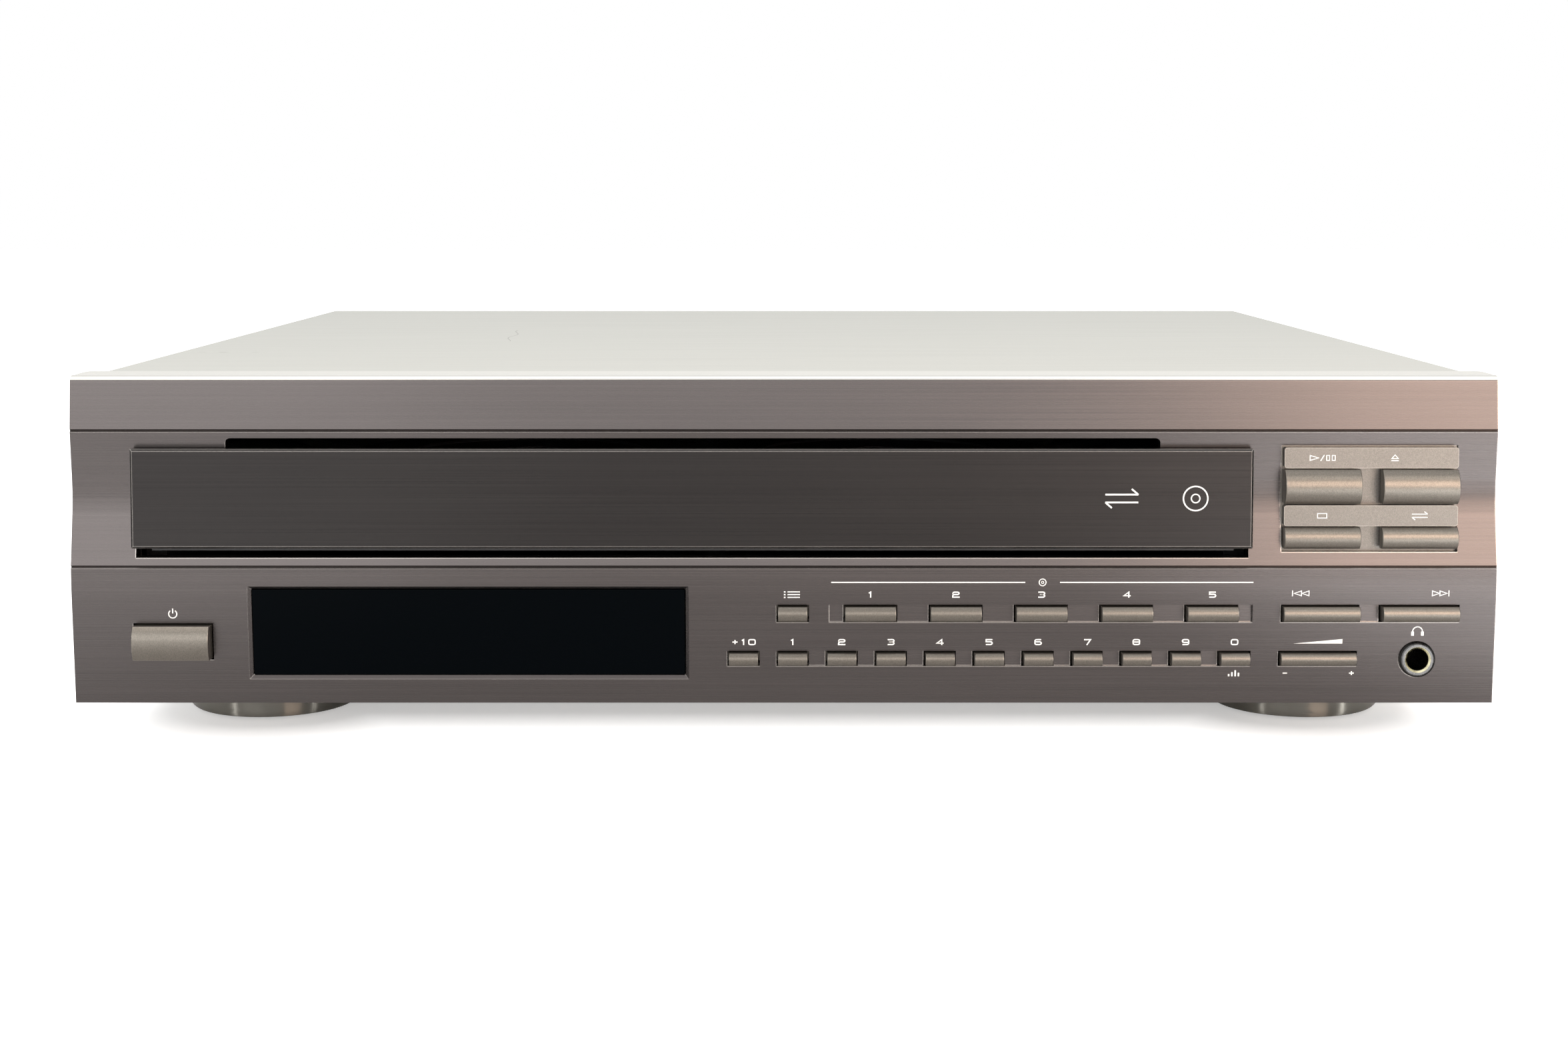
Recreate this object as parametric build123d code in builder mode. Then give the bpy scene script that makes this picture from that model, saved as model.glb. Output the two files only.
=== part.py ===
"""Five-disc carousel CD changer: a hi-fi drawer player with its loading mechanism.

Millimetres. X runs to the right seen from the front, Y to the rear, Z up.
The origin is on the floor, under the middle of the machine.
"""
import os
from math import acos, cos, degrees, hypot, pi, radians, sin, tan

from build123d import *

os.makedirs("parts", exist_ok=True)

# Disc wells and carousel, which set the width and the depth of the machine
well_count = 5
well_radius = 60.5
well_web = 1.3
well_depth = 4.5
rim_inset = 1.5
carousel_floor = 2.0
well_slot = 34.0
well_finger_over = 10.0
small_disc_radius = 40.5
small_disc_step = 0.8
hub_step = 1.2
ring_rim = 5.0
ring_module = 1.5
ring_teeth = 80
ring_height = 7.0
carousel_pinion_teeth = 12
hub_radius = 14.0
hub_post_inset = 3.0
hub_play = 0.2
hub_pin_radius = 4.0

# Tray
tray_gap = 1.0
tray_wall = 2.0
tray_floor = 3.0
motor_space = 15.0
tray_height = 22.0
tray_skin = 2.5
tray_corner = 6.0
tray_front_web = 20.0
tray_rear_web = 3.0
tray_entry = 1.0
rail_reach = 2.5
rail_height = 3.0
rail_rise = 4.0
rail_setback = 3.0
rack_module = 1.0
rack_spare = 60.0
drawer_travel = 250.0

# Drawer door
door_side = 4.5
door_height = 30.4
door_lift = 1.6
door_proud = 2.2
door_skin = 2.9
door_plug_side = 2.5
door_plug_gap = 0.8
door_edge = 0.6

# Front panel
left_margin = 19.0
right_margin = 75.0
foot_height = 15.2
panel_height = 100.8
fascia_thickness = 6.0
frame_depth = 15.0
frame_wall = 3.0
frame_web = 2.5
power_ahead = 4.0
top_depth = 2.6
top_round = 2.0
upper_groove_drop = 16.7
upper_groove_depth = 1.3
crease_drop = 37.0
crease_depth = 3.3
ridge_drop = 58.3
ridge_flat = 6.7
bottom_depth = 2.64
crease_round = 40.0
knee_round = 90.0
groove_width = 0.7
opening_side = 0.8
opening_below = 3.2
opening_top_inset = 1.5
notch_height = 4.5
notch_left = 27.4
notch_right = 27.0
corner_round = 1.5
opening_relief = 0.5
display_seat = 4.0
block_seat = 1.0
frame_lug_outer = 30.0
frame_lug_inner = 130.0
frame_lug_half = 8.0
frame_lug_height = 2.5

# Case
sheet = 1.0
cover_inset = 5.0
chassis_lift = 1.8
chassis_flange = 22.0
rear_space = 33.0
rear_lip = 1.0
cover_fold = 1.6
socket_reach = 11.0
rib_height = 1.5
rib_width = 8.0
rib_side = 80.0
rib_margin = 30.0
vent_side = 32.0
vent_ahead = 10.0
vent_width = 3.0
vent_length = 34.0
vent_pitch = 10.0
vent_row_pitch = 52.0
screw_radius = 3.8
screw_head = 2.2
screw_margin = 60.0
screw_drop = 8.0

# Rear connections
gland_side = 50.0
gland_rise = 26.0
gland_flange = 9.0
gland_flange_height = 4.0
gland_body = 6.4
gland_bore = 3.6
gland_inside = 5.0
line_out_side = 110.0
line_out_rise = 30.0
line_out_pitch = 14.0
line_out_radius = 4.15
line_out_ring = 5.5
line_out_ring_height = 1.2
line_out_hole = 1.6
line_out_hole_start = 2.0
line_out_body_half = 7.0
line_out_body_end = 8.0
line_out_body_depth = 9.0

# Feet
foot_clear = 1.0
foot_round = 3.0
foot_waist = 3.0
foot_waist_drop = 4.5
foot_radius = 28.0
foot_side = 46.5
front_foot_back = 70.0
rear_foot_ahead = 50.0
pad_radius = 17.0
pad_height = 1.5
rear_foot_radius = 20.0
rear_foot_edge = 1.5

# Keys: heights of the rows above the lower edge of the panel
key_gap = 0.5
key_travel = 0.8
key_switch_gap = 0.2
key_flange = 1.3
key_flange_gap = 0.15
key_flange_side = 0.8
slot_depth = 1.4
key_round = 0.3
stem_half_width = 1.5
stem_half_height = 1.2
row_proud = 2.0
disc_key_bulge = 1.1
small_key_bulge = 1.0
trough_lead = 4.8
trough_tail = 4.6
upper_row_height = 28.05
lower_row_height = 13.95
power_key_width = 23.4
power_key_height = 10.4
power_key_x = 30.7
power_key_z = 19.3
power_key_bulge = 1.5
power_travel = 2.0
program_key_x = 220.15
small_key_width = 9.0
small_key_height = 3.8
disc_key_width = 15.6
disc_key_height = 4.5
disc_key_first = 243.9
disc_key_pitch = 26.1
digit_first = 220.15
digit_pitch = 15.03
plus_ten_x = 205.1
skip_key_width = 23.4
skip_left_x = 53.55
skip_right_x = 23.3
level_key_x = 54.1
level_key_width = 23.2
rocker_proud = 1.8
rocker_draw = 1.2
rocker_switch_side = 6.0
rocker_post_gap = 0.75
rocker_pin_radius = 0.9
rocker_pin_reach = 1.5
rocker_lug_half = 2.5
rocker_lug_depth = 2.6
phones_x = 23.7
phones_z = 13.8
phones_radius = 5.5
phones_bore = 3.25
phones_proud = 1.6
phones_edge = 0.8
phones_mouth = 0.7
phones_end = 1.0
phones_body_width = 13.0
phones_body_height = 12.5

# Transport block, measured from the right edge and the lower edge of the panel
block_x = 38.9
block_width = 53.8
block_z = 63.3
block_height = 32.6
bar_height = 6.3
big_key_height = 10.5
stop_key_height = 6.5
block_key_width = 23.2
block_gap = 0.45
block_base_depth = 2.6
bar_proud = 0.6
bar_round = 0.8
big_key_bulge = 2.6
stop_key_bulge = 1.7
cap_ahead = 0.2
neck_half_width = 9.0
neck_half_height = 2.2

# Display
display_x = 121.0
display_width = 134.8
display_z = 22.0
display_height = 29.2
display_bevel = 1.2
display_recess = 0.9
window_thickness = 2.5
window_step = 2.0
window_rim = 0.6
tube_half_width = 52.0
tube_half_height = 9.0
tube_thickness = 7.0
tube_gap = 0.4
tube_round = 1.0
pedestal_half_width = 40.0
pedestal_half_height = 6.0

# Boards
board = 1.6
board_inset = 1.5
board_side = 3.0
board_above = 6.0
switch_height = 4.0
switch_side = 4.5
spacer_half = 2.5
spacer_left = 12.0
spacer_low = 12.0
spacer_right = 9.0
spacer_mid = 20.0
spacer_lead = 16.0
main_board_lift = 8.0
main_board_margin = 5.0
main_board_half_length = 90.0
post_radius = 3.0
post_inset = 4.0
capacitor_radius = 8.0
capacitor_height = 22.0
heat_sink_height = 26.0
transformer_ahead = 45.0
transformer_half_width = 20.0
transformer_half_depth = 16.0
transformer_top = 38.0
transformer_foot = 2.0
winding_half_width = 14.0
winding_half_depth = 23.0
winding_inset = 7.0
winding_round = 2.0

# Loader deck
deck_gap = 10.0
deck_floor = 3.0
lift_space = 31.0
deck_wall = 6.4
deck_wall_gap = 0.6
deck_wall_drop = 9.0
deck_front_gap = 2.0
deck_behind = 76.0
deck_foot_radius = 6.0
deck_foot_inset = 12.0
rail_gap = 0.15
rail_side_gap = 0.3
cam_guide_half = 64.0
cam_guide_width = 2.5
cam_guide_gap = 0.2
cam_guide_height = 4.0
shelf_thickness = 3.0
shelf_drop = 3.0
shelf_half_depth = 17.0
drive_window_half = 14.0
drive_back = 25.0

# Lift unit
lift_travel = 12.5
cam_travel = 20.0
cam_thickness = 3.0
cam_below = 3.0
cam_pin_radius = 2.0
cam_pin_spread = 56.0
cam_rack_teeth = 16
rack_ahead = 4
slot_clearance = 0.15
lift_half = 42.0
lift_wall = 2.5
lift_corner = 4.0
lift_drop = 16.0
lift_height = 14.0
lift_ahead = 29.0
lift_behind = 72.0
lift_gap = 4.0
skirt_inset = 4.0
cam_pin_drop = 6.0
cam_end = 8.0
guide_radius = 3.0
guide_gap = 0.1
guide_side = 8.0
guide_behind = 19.0
guide_spare = 2.0
ear_half = 6.0
ear_height = 6.0
rod_radius = 1.5
rod_spread = 36.0
rod_rise = 18.0
rod_post_half = 3.0
rod_post_over = 2.4
rod_post_depth = 4.0
rod_start = 4.0
spindle_boss = 12.5
turntable_drop = 5.0
turntable_radius = 14.0
turntable_thickness = 2.0
spindle_neck = 7.0
cone_radius = 7.4
cone_draft = 0.5
cone_top_radius = 3.5
cone_shoulder = 1.4
cone_height = 3.0
spindle_radius = 1.5
spindle_lift = 4.0
lens_start = 24.0
lens_radius = 2.6
lens_height = 1.4
lens_mount_height = 0.8
lens_mount_radius = 6.0
pickup_drop = 1.5
pickup_half_width = 13.0
pickup_half_depth = 9.0
sledge_half_depth = 7.0
sledge_side = 4.0
sledge_below = 3.5
sledge_above = 2.5
pickup_round = 1.5
rod_play = 0.05

# Drive
motor_radius = 12.0
motor_height = 20.0
motor_shaft = 1.0
motor_edge = 0.8
motor_collar = 2.2
motor_collar_height = 1.0
shelf_bore = 2.5
gear_post = 2.0
gear_drop = 0.5
carousel_motor_radius = 15.0
carousel_shaft = 1.5
carousel_motor_gap = 1.5
drive_teeth = 24
drive_pinion_teeth = 12
lift_gear_teeth = 28
gear_height = 4.0
shaft_gap = 0.1
backlash = 0.24

# Clamp
clamp_play = 0.3
disc_thickness = 1.2
bridge_width = 44.0
bridge_sheet = 2.0
bridge_flange = 2.0
bridge_over = 6.5
bridge_leg = 4.0
puck_radius = 11.5
puck_flange = 16.0
puck_flange_height = 2.5
puck_lift = 0.15
puck_play = 1.5
puck_recess = 7.8
puck_recess_depth = 3.4

# Small allowances used all over the model
fit_gap = 0.1
over = 1.0

# Places worked out from the sizes above
pitch_radius = round((well_radius + well_web / 2) / sin(pi / well_count), 1)
carousel_radius = pitch_radius + well_radius - rim_inset
pocket_radius = carousel_radius + tray_gap
tray_half = pocket_radius + tray_wall
door_half = tray_half + door_side
opening_half = door_half - opening_side
overall_width = 2 * door_half + left_margin + right_margin
half_width = overall_width / 2
left_edge = -half_width
right_edge = half_width
overall_height = foot_height + panel_height
overall_depth = (power_ahead + fascia_thickness - tray_entry + tray_front_web + 2 * carousel_radius
                 + rear_space + sheet + socket_reach)
front_y = -overall_depth / 2
ridge_y = front_y + power_ahead
fascia_back = ridge_y + fascia_thickness
web_back = fascia_back + frame_web
frame_back = fascia_back + frame_depth
rear_outer = overall_depth / 2 - socket_reach
rear_inner = rear_outer - sheet
tray_front = fascia_back - tray_entry
carousel_y = tray_front + tray_front_web + carousel_radius
tray_rear = carousel_y + carousel_radius + tray_rear_web
drawer_x = left_edge + left_margin + door_half
spindle_y = carousel_y + pitch_radius

panel_bottom = foot_height
panel_top = overall_height
chassis_bottom = foot_height + chassis_lift
chassis_top = chassis_bottom + sheet
deck_bottom = chassis_top + deck_gap
deck_top = deck_bottom + deck_floor
tray_bottom = deck_top + lift_space
tray_floor_top = tray_bottom + tray_floor
tray_top = tray_bottom + tray_height
lift_floor_z = tray_bottom - lift_drop
deck_wall_top = tray_top - deck_wall_drop
carousel_bottom = tray_floor_top + motor_space
carousel_top = carousel_bottom + carousel_floor + well_depth
door_bottom = tray_bottom + door_lift
door_top = door_bottom + door_height
opening_bottom = door_bottom - opening_below
opening_top = door_top - opening_top_inset
rail_z = tray_bottom + rail_rise
ring_radius = ring_module * ring_teeth / 2
cover_half = half_width - cover_inset
inner_half = cover_half - sheet

ridge_z = panel_top - ridge_drop
knee_z = ridge_z - ridge_flat
crease_z = panel_top - crease_drop
upper_groove_z = panel_top - upper_groove_drop


def surface_y(z):
    """Y of the panel's front surface at the height z."""
    stations = [
        (panel_bottom, bottom_depth),
        (knee_z, 0.0),
        (ridge_z, 0.0),
        (crease_z, crease_depth),
        (upper_groove_z, upper_groove_depth),
        (panel_top, top_depth),
    ]
    for (low, low_depth), (high, high_depth) in zip(stations, stations[1:]):
        if z <= high:
            share = (z - low) / (high - low)
            return ridge_y + low_depth + share * (high_depth - low_depth)
    return ridge_y + top_depth


def save(part, name):
    """Label one finished piece and write it to its own file."""
    part.label = name
    export_step(part, f"parts/{name}.step")


def box(x0, x1, y0, y1, z0, z1, mode=Mode.ADD):
    """A block in the open part, from its six limits."""
    with Locations(((x0 + x1) / 2, (y0 + y1) / 2, (z0 + z1) / 2)):
        Box(x1 - x0, y1 - y0, z1 - z0, mode=mode)


def side_box(side, x_in, x_out, y0, y1, z0, z1, mode=Mode.ADD):
    """A block on one side of the drawer's middle, from its distances to that middle."""
    x0, x1 = sorted((drawer_x + side * x_in, drawer_x + side * x_out))
    box(x0, x1, y0, y1, z0, z1, mode)


def post(x, y, z, radius, height, mode=Mode.ADD):
    """An upright round post in the open part, standing on z."""
    with Locations((x, y, z)):
        Cylinder(radius, height, align=(Align.CENTER, Align.CENTER, Align.MIN), mode=mode)


def facing_front(x, y, z):
    """A plane at a point, looking out of the front of the machine."""
    return Plane(origin=(x, y, z), x_dir=(1, 0, 0), z_dir=(0, -1, 0))


def facing_rear(x, y, z):
    """A plane at a point, looking out of the rear of the machine."""
    return Plane(origin=(x, y, z), x_dir=(1, 0, 0), z_dir=(0, 1, 0))


def gear_points(module, teeth, first_angle, flank_steps=2):
    """Corner points of a spur gear whose first tooth points along first_angle (degrees)."""
    pitch = module * teeth / 2
    base = pitch * cos(radians(20))
    tip = pitch + 0.9 * module
    root = pitch - 1.15 * module
    half_pitch_angle = (pi * module / 2 - backlash / 2) / (2 * pitch)
    flat = tan(radians(20)) - radians(20)
    start = max(root, base)
    radii = [start + (tip - start) * step / (flank_steps - 1) for step in range(flank_steps)]
    half_angles = []
    for radius in radii:
        slope = acos(min(1.0, base / radius))
        half_angles.append(half_pitch_angle + flat - (tan(slope) - slope))
    points = []
    for tooth in range(teeth):
        middle = radians(first_angle) + 2 * pi * tooth / teeth
        rising = list(zip(radii, half_angles))
        if start > root:
            rising = [(root, half_angles[0])] + rising
        for radius, angle in rising:
            points.append((radius * cos(middle - angle), radius * sin(middle - angle)))
        for radius, angle in reversed(rising):
            points.append((radius * cos(middle + angle), radius * sin(middle + angle)))
    return points


def rack_points(module, length_teeth, back):
    """Corner points of a straight rack along +X, teeth towards +Y, a gap centred on X = 0."""
    pitch = pi * module
    half = (pitch - backlash) / 4
    lean = tan(radians(20))
    tip = 0.9 * module
    root = 1.15 * module
    first = -(length_teeth // 2)
    points = [(first * pitch, -back), (first * pitch, -root)]
    for tooth in range(first, first + length_teeth):
        middle = (tooth + 0.5) * pitch
        points.append((middle - half - root * lean, -root))
        points.append((middle - half + tip * lean, tip))
        points.append((middle + half - tip * lean, tip))
        points.append((middle + half + root * lean, -root))
    points.append(((first + length_teeth) * pitch, -root))
    points.append(((first + length_teeth) * pitch, -back))
    return points


# Front panel: an extruded section with a top edge, two fine grooves, a crease and a knee
display_centre_x = left_edge + display_x
display_centre_z = panel_bottom + display_z
display_slope = bottom_depth / (knee_z - panel_bottom)
display_plane = Plane(
    origin=(display_centre_x, surface_y(display_centre_z), display_centre_z),
    x_dir=(1, 0, 0),
    z_dir=(0, -1, -display_slope),
)
notch_x0 = drawer_x - opening_half + notch_left
notch_x1 = drawer_x + opening_half - notch_right
phones_centre_x = right_edge - phones_x
phones_centre_z = panel_bottom + phones_z
with BuildPart() as fascia:
    with BuildSketch(Plane.YZ.offset(left_edge)):
        with BuildLine():
            Polyline(
                (fascia_back, panel_bottom),
                (ridge_y + bottom_depth, panel_bottom),
                (ridge_y, knee_z),
                (ridge_y, ridge_z),
                (ridge_y + crease_depth, crease_z),
                (ridge_y + upper_groove_depth, upper_groove_z),
                (ridge_y + top_depth, panel_top),
                (fascia_back, panel_top),
                close=True,
            )
        make_face()
        fillet(vertices().sort_by_distance((ridge_y + crease_depth, crease_z))[0], crease_round)
        fillet(vertices().sort_by_distance((ridge_y, knee_z))[0], knee_round)
        fillet(vertices().sort_by_distance((ridge_y + top_depth, panel_top))[0], top_round)
        for groove_z in (ridge_z, upper_groove_z):
            with Locations((surface_y(groove_z), groove_z)):
                Rectangle(groove_width, groove_width, rotation=45, mode=Mode.SUBTRACT)
    extrude(amount=overall_width)
    # Drawer opening with its shallow notch above the door
    with BuildSketch(Plane.XZ.offset(-fascia_back)):
        with Locations((drawer_x, (opening_bottom + opening_top) / 2)):
            Rectangle(2 * opening_half, opening_top - opening_bottom)
        with Locations(((notch_x0 + notch_x1) / 2, opening_top)):
            Rectangle(notch_x1 - notch_x0, 2 * notch_height)
        fillet(vertices().group_by(Axis.Y)[-1], corner_round)
    extrude(amount=2 * fascia_thickness, mode=Mode.SUBTRACT)
    # Display cut-out with its bright bevel
    with BuildSketch(display_plane):
        Rectangle(display_width, display_height)
    with BuildSketch(display_plane.offset(-display_bevel)):
        Rectangle(display_width - 2 * display_bevel, display_height - 2 * display_bevel)
    loft(mode=Mode.SUBTRACT)
    with BuildSketch(display_plane):
        Rectangle(display_width - 2 * display_bevel, display_height - 2 * display_bevel)
    extrude(amount=-2 * fascia_thickness, mode=Mode.SUBTRACT)
    # Round hole of the headphone socket
    with BuildSketch(Plane.XZ.offset(-fascia_back)):
        with Locations((phones_centre_x, phones_centre_z)):
            Circle(phones_radius + fit_gap)
    extrude(amount=2 * fascia_thickness, mode=Mode.SUBTRACT)

# Keys: name, centre x, centre z, width, height, y of the cap's edges, bulge, travel
upper_row = panel_bottom + upper_row_height
lower_row = panel_bottom + lower_row_height
upper_front = surface_y(upper_row) - row_proud
lower_front = surface_y(lower_row) - row_proud
rocker_x = right_edge - level_key_x
keys = [
    ("power_key", left_edge + power_key_x, panel_bottom + power_key_z, power_key_width,
     power_key_height, front_y + power_key_bulge, power_key_bulge, power_travel),
    ("program_key", left_edge + program_key_x, upper_row, small_key_width, disc_key_height,
     upper_front, disc_key_bulge, key_travel),
    ("plus_ten_key", left_edge + plus_ten_x, lower_row, small_key_width, small_key_height,
     lower_front, small_key_bulge, key_travel),
    ("skip_back_key", right_edge - skip_left_x, upper_row, skip_key_width, disc_key_height,
     upper_front, disc_key_bulge, key_travel),
    ("skip_forward_key", right_edge - skip_right_x, upper_row, skip_key_width, disc_key_height,
     upper_front, disc_key_bulge, key_travel),
]
for number in range(well_count):
    keys.append((f"disc_{number + 1}_key", left_edge + disc_key_first + number * disc_key_pitch,
                 upper_row, disc_key_width, disc_key_height, upper_front, disc_key_bulge, key_travel))
digit_count = 10
for place in range(digit_count):
    keys.append((f"digit_{(place + 1) % digit_count}_key",
                 left_edge + digit_first + place * digit_pitch, lower_row, small_key_width,
                 small_key_height, lower_front, small_key_bulge, key_travel))
key_holes = [(x, z, width, height) for name, x, z, width, height, edge, bulge, travel in keys]
key_holes.append((rocker_x, lower_row, level_key_width, small_key_height))

# Transport block rows, from the top: label bar, big keys, label bar, small keys
block_centre_x = right_edge - block_x
block_centre_z = panel_bottom + block_z
block_bottom = block_centre_z - block_height / 2
block_top = block_centre_z + block_height / 2
top_bar_z = block_top - block_gap - bar_height / 2
big_key_z = top_bar_z - bar_height / 2 - block_gap - big_key_height / 2
bar_z = big_key_z - big_key_height / 2 - block_gap - bar_height / 2
stop_key_z = bar_z - bar_height / 2 - block_gap - stop_key_height / 2
block_base_y = ridge_y + block_base_depth
key_side = block_width / 2 - block_gap - block_key_width / 2
block_keys = [
    ("play_key", block_centre_x - key_side, big_key_z, big_key_height, big_key_bulge),
    ("open_key", block_centre_x + key_side, big_key_z, big_key_height, big_key_bulge),
    ("stop_key", block_centre_x - key_side, stop_key_z, stop_key_height, stop_key_bulge),
    ("exchange_key", block_centre_x + key_side, stop_key_z, stop_key_height, stop_key_bulge),
]

# Openings in the panel for the keys, with the shallow troughs that rows share
disc_half = disc_key_width / 2
digit_half = small_key_width / 2 + key_gap
skip_half = skip_key_width / 2 + key_gap
first_disc_x = left_edge + disc_key_first
last_disc_x = first_disc_x + (well_count - 1) * disc_key_pitch
first_digit_x = left_edge + digit_first
last_digit_x = first_digit_x + (digit_count - 1) * digit_pitch
with fascia:
    for x0, x1, z, height in (
        (first_disc_x - disc_half - trough_lead, last_disc_x + disc_half + trough_tail,
         upper_row, disc_key_height),
        (first_digit_x - digit_half, last_digit_x + digit_half, lower_row, small_key_height),
        (right_edge - skip_left_x - skip_half, right_edge - skip_right_x + skip_half,
         upper_row, disc_key_height),
    ):
        box(x0, x1, ridge_y - over, surface_y(z) + slot_depth, z - height / 2 - key_gap,
            z + height / 2 + key_gap, mode=Mode.SUBTRACT)
    for x, z, width, height in key_holes:
        box(x - width / 2 - key_gap, x + width / 2 + key_gap, ridge_y - over, fascia_back + over,
            z - height / 2 - key_gap, z + height / 2 + key_gap, mode=Mode.SUBTRACT)
    box(block_centre_x - block_width / 2, block_centre_x + block_width / 2, ridge_y - over,
        fascia_back + over, block_bottom, block_top, mode=Mode.SUBTRACT)
save(fascia.part, "fascia")

# Moulded frame behind the panel: a rim and a web with the same openings
rocker_pivot_y = web_back + rocker_pin_radius / 2
rocker_lug_z = lower_row - small_key_height / 2 - key_gap
with BuildPart() as front_frame:
    box(left_edge, right_edge, fascia_back, frame_back, panel_bottom, panel_top)
    fillet(front_frame.edges().filter_by(Axis.Z), top_round)
    box(left_edge + frame_wall, right_edge - frame_wall, web_back, frame_back + over,
        panel_bottom + frame_wall, panel_top - frame_wall, mode=Mode.SUBTRACT)
    for x in (left_edge + frame_lug_outer, left_edge + frame_lug_inner,
              right_edge - frame_lug_inner, right_edge - frame_lug_outer):
        box(x - frame_lug_half, x + frame_lug_half, frame_back - frame_wall, frame_back,
            panel_bottom + frame_wall / 2, panel_bottom + frame_wall + frame_lug_height)
    # Lugs that hold the rocker's pivot pins
    for z0, z1 in ((rocker_lug_z - rocker_pin_reach, rocker_lug_z),
                   (2 * lower_row - rocker_lug_z, 2 * lower_row - rocker_lug_z + rocker_pin_reach)):
        box(rocker_x - rocker_lug_half, rocker_x + rocker_lug_half, web_back - frame_web / 2,
            web_back + rocker_lug_depth, z0, z1)
    # Drawer opening
    box(drawer_x - opening_half - opening_relief, drawer_x + opening_half + opening_relief,
        fascia_back - over, web_back + over, opening_bottom - opening_relief,
        opening_top + notch_height, mode=Mode.SUBTRACT)
    # Display opening, which leaves a seat behind the window
    box(display_centre_x - display_width / 2 + display_seat,
        display_centre_x + display_width / 2 - display_seat, fascia_back - over, web_back + over,
        display_centre_z - display_height / 2 + display_seat,
        display_centre_z + display_height / 2 - display_seat, mode=Mode.SUBTRACT)
    for x, z, width, height in key_holes:
        box(x - width / 2 - key_gap, x + width / 2 + key_gap, fascia_back - over, web_back + over,
            z - height / 2 - key_gap, z + height / 2 + key_gap, mode=Mode.SUBTRACT)
    box(block_centre_x - block_width / 2 + block_seat, block_centre_x + block_width / 2 - block_seat,
        fascia_back - over, web_back + over, block_bottom + block_seat, block_top - block_seat,
        mode=Mode.SUBTRACT)
    with BuildSketch(Plane.XZ.offset(-web_back)):
        with Locations((phones_centre_x, phones_centre_z)):
            Circle(phones_radius + fit_gap)
    extrude(amount=frame_web, mode=Mode.SUBTRACT)
    with Locations((rocker_x, rocker_pivot_y, lower_row)):
        Cylinder(rocker_pin_radius + fit_gap, 2 * (lower_row - rocker_lug_z + rocker_pin_reach),
                 mode=Mode.SUBTRACT)
save(front_frame.part, "front_frame")

# Key surround of the transport block: a base plate and two label bars
bar_front = ridge_y - bar_proud
with BuildPart() as control_surround:
    box(block_centre_x - block_width / 2 + fit_gap, block_centre_x + block_width / 2 - fit_gap,
        block_base_y, fascia_back, block_bottom + fit_gap, block_top - fit_gap)
    with BuildSketch(Plane.XZ.offset(-block_base_y)):
        with Locations((block_centre_x, top_bar_z), (block_centre_x, bar_z)):
            RectangleRounded(block_width - 2 * block_gap, bar_height, bar_round)
    extrude(amount=block_base_y - bar_front)
    for name, x, z, height, bulge in block_keys:
        box(x - neck_half_width - key_gap, x + neck_half_width + key_gap, block_base_y - over,
            fascia_back + over, z - neck_half_height - key_gap, z + neck_half_height + key_gap,
            mode=Mode.SUBTRACT)
save(control_surround.part, "control_surround")

# Key board behind the frame, with one switch under each key
flange_front = web_back + key_flange_gap
flange_back = flange_front + key_flange
board_front = frame_back - board_inset - board
board_left = left_edge + frame_wall + board_side
board_right = right_edge - frame_wall - board_side
switch_front = board_front - switch_height


def stem_end(travel):
    """Y of the back end of a key's stem, clear of its switch by the travel and a small gap."""
    return switch_front - key_switch_gap - travel


switches = [(x, z) for name, x, z, width, height, edge, bulge, travel in keys]
switches += [(rocker_x + side * rocker_switch_side, lower_row) for side in (-1, 1)]
switches += [(x, z) for name, x, z, height, bulge in block_keys]
with BuildPart() as key_board:
    box(board_left, board_right, board_front, board_front + board,
        panel_bottom + frame_wall + board_side, upper_row + board_above)
    box(block_centre_x - block_width / 2, board_right, board_front, board_front + board,
        upper_row + board_above, block_top)
    for x, z in switches:
        box(x - switch_side / 2, x + switch_side / 2, switch_front, board_front,
            z - switch_side / 2, z + switch_side / 2)
    # Spacers that carry the board on the back of the frame's web
    for x, z in (
        (left_edge + spacer_left, panel_bottom + spacer_low),
        (left_edge + spacer_left, upper_row),
        (left_edge + program_key_x - spacer_lead, upper_row),
        (right_edge - spacer_right, panel_bottom + spacer_mid),
        (right_edge - spacer_right, block_centre_z),
    ):
        box(x - spacer_half, x + spacer_half, web_back, board_front, z - spacer_half, z + spacer_half)
    # Pedestal under the display tube
    box(display_centre_x - pedestal_half_width, display_centre_x + pedestal_half_width,
        web_back + tube_gap + tube_thickness, board_front,
        display_centre_z - pedestal_half_height, display_centre_z + pedestal_half_height)
save(key_board.part, "key_board")


def cap_section(x, back, edge, bulge, z, height):
    """Side view of a key's cap at x: straight sides and a front that bulges out."""
    with BuildSketch(Plane.YZ.offset(x)) as section:
        with BuildLine():
            Line((back, z - height / 2), (edge, z - height / 2))
            ThreePointArc((edge, z - height / 2), (edge - bulge, z), (edge, z + height / 2))
            Line((edge, z + height / 2), (back, z + height / 2))
            Line((back, z + height / 2), (back, z - height / 2))
        make_face()
    return section.sketch


# Push keys: a convex cap on a flange behind the web, with a stem to its switch
for name, x, z, width, height, edge, bulge, travel in keys:
    with BuildPart() as push_key:
        extrude(cap_section(x - width / 2, flange_back, edge, bulge, z, height), amount=width)
        fillet(push_key.edges().filter_by(GeomType.CIRCLE), key_round)
        flange_half = width / 2 + key_gap + key_flange_side
        box(x - flange_half, x + flange_half, flange_front, flange_back, z - height / 2, z + height / 2)
        box(x - stem_half_width, x + stem_half_width, flange_back, stem_end(travel),
            z - stem_half_height, z + stem_half_height)
    save(push_key.part, name)

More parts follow.
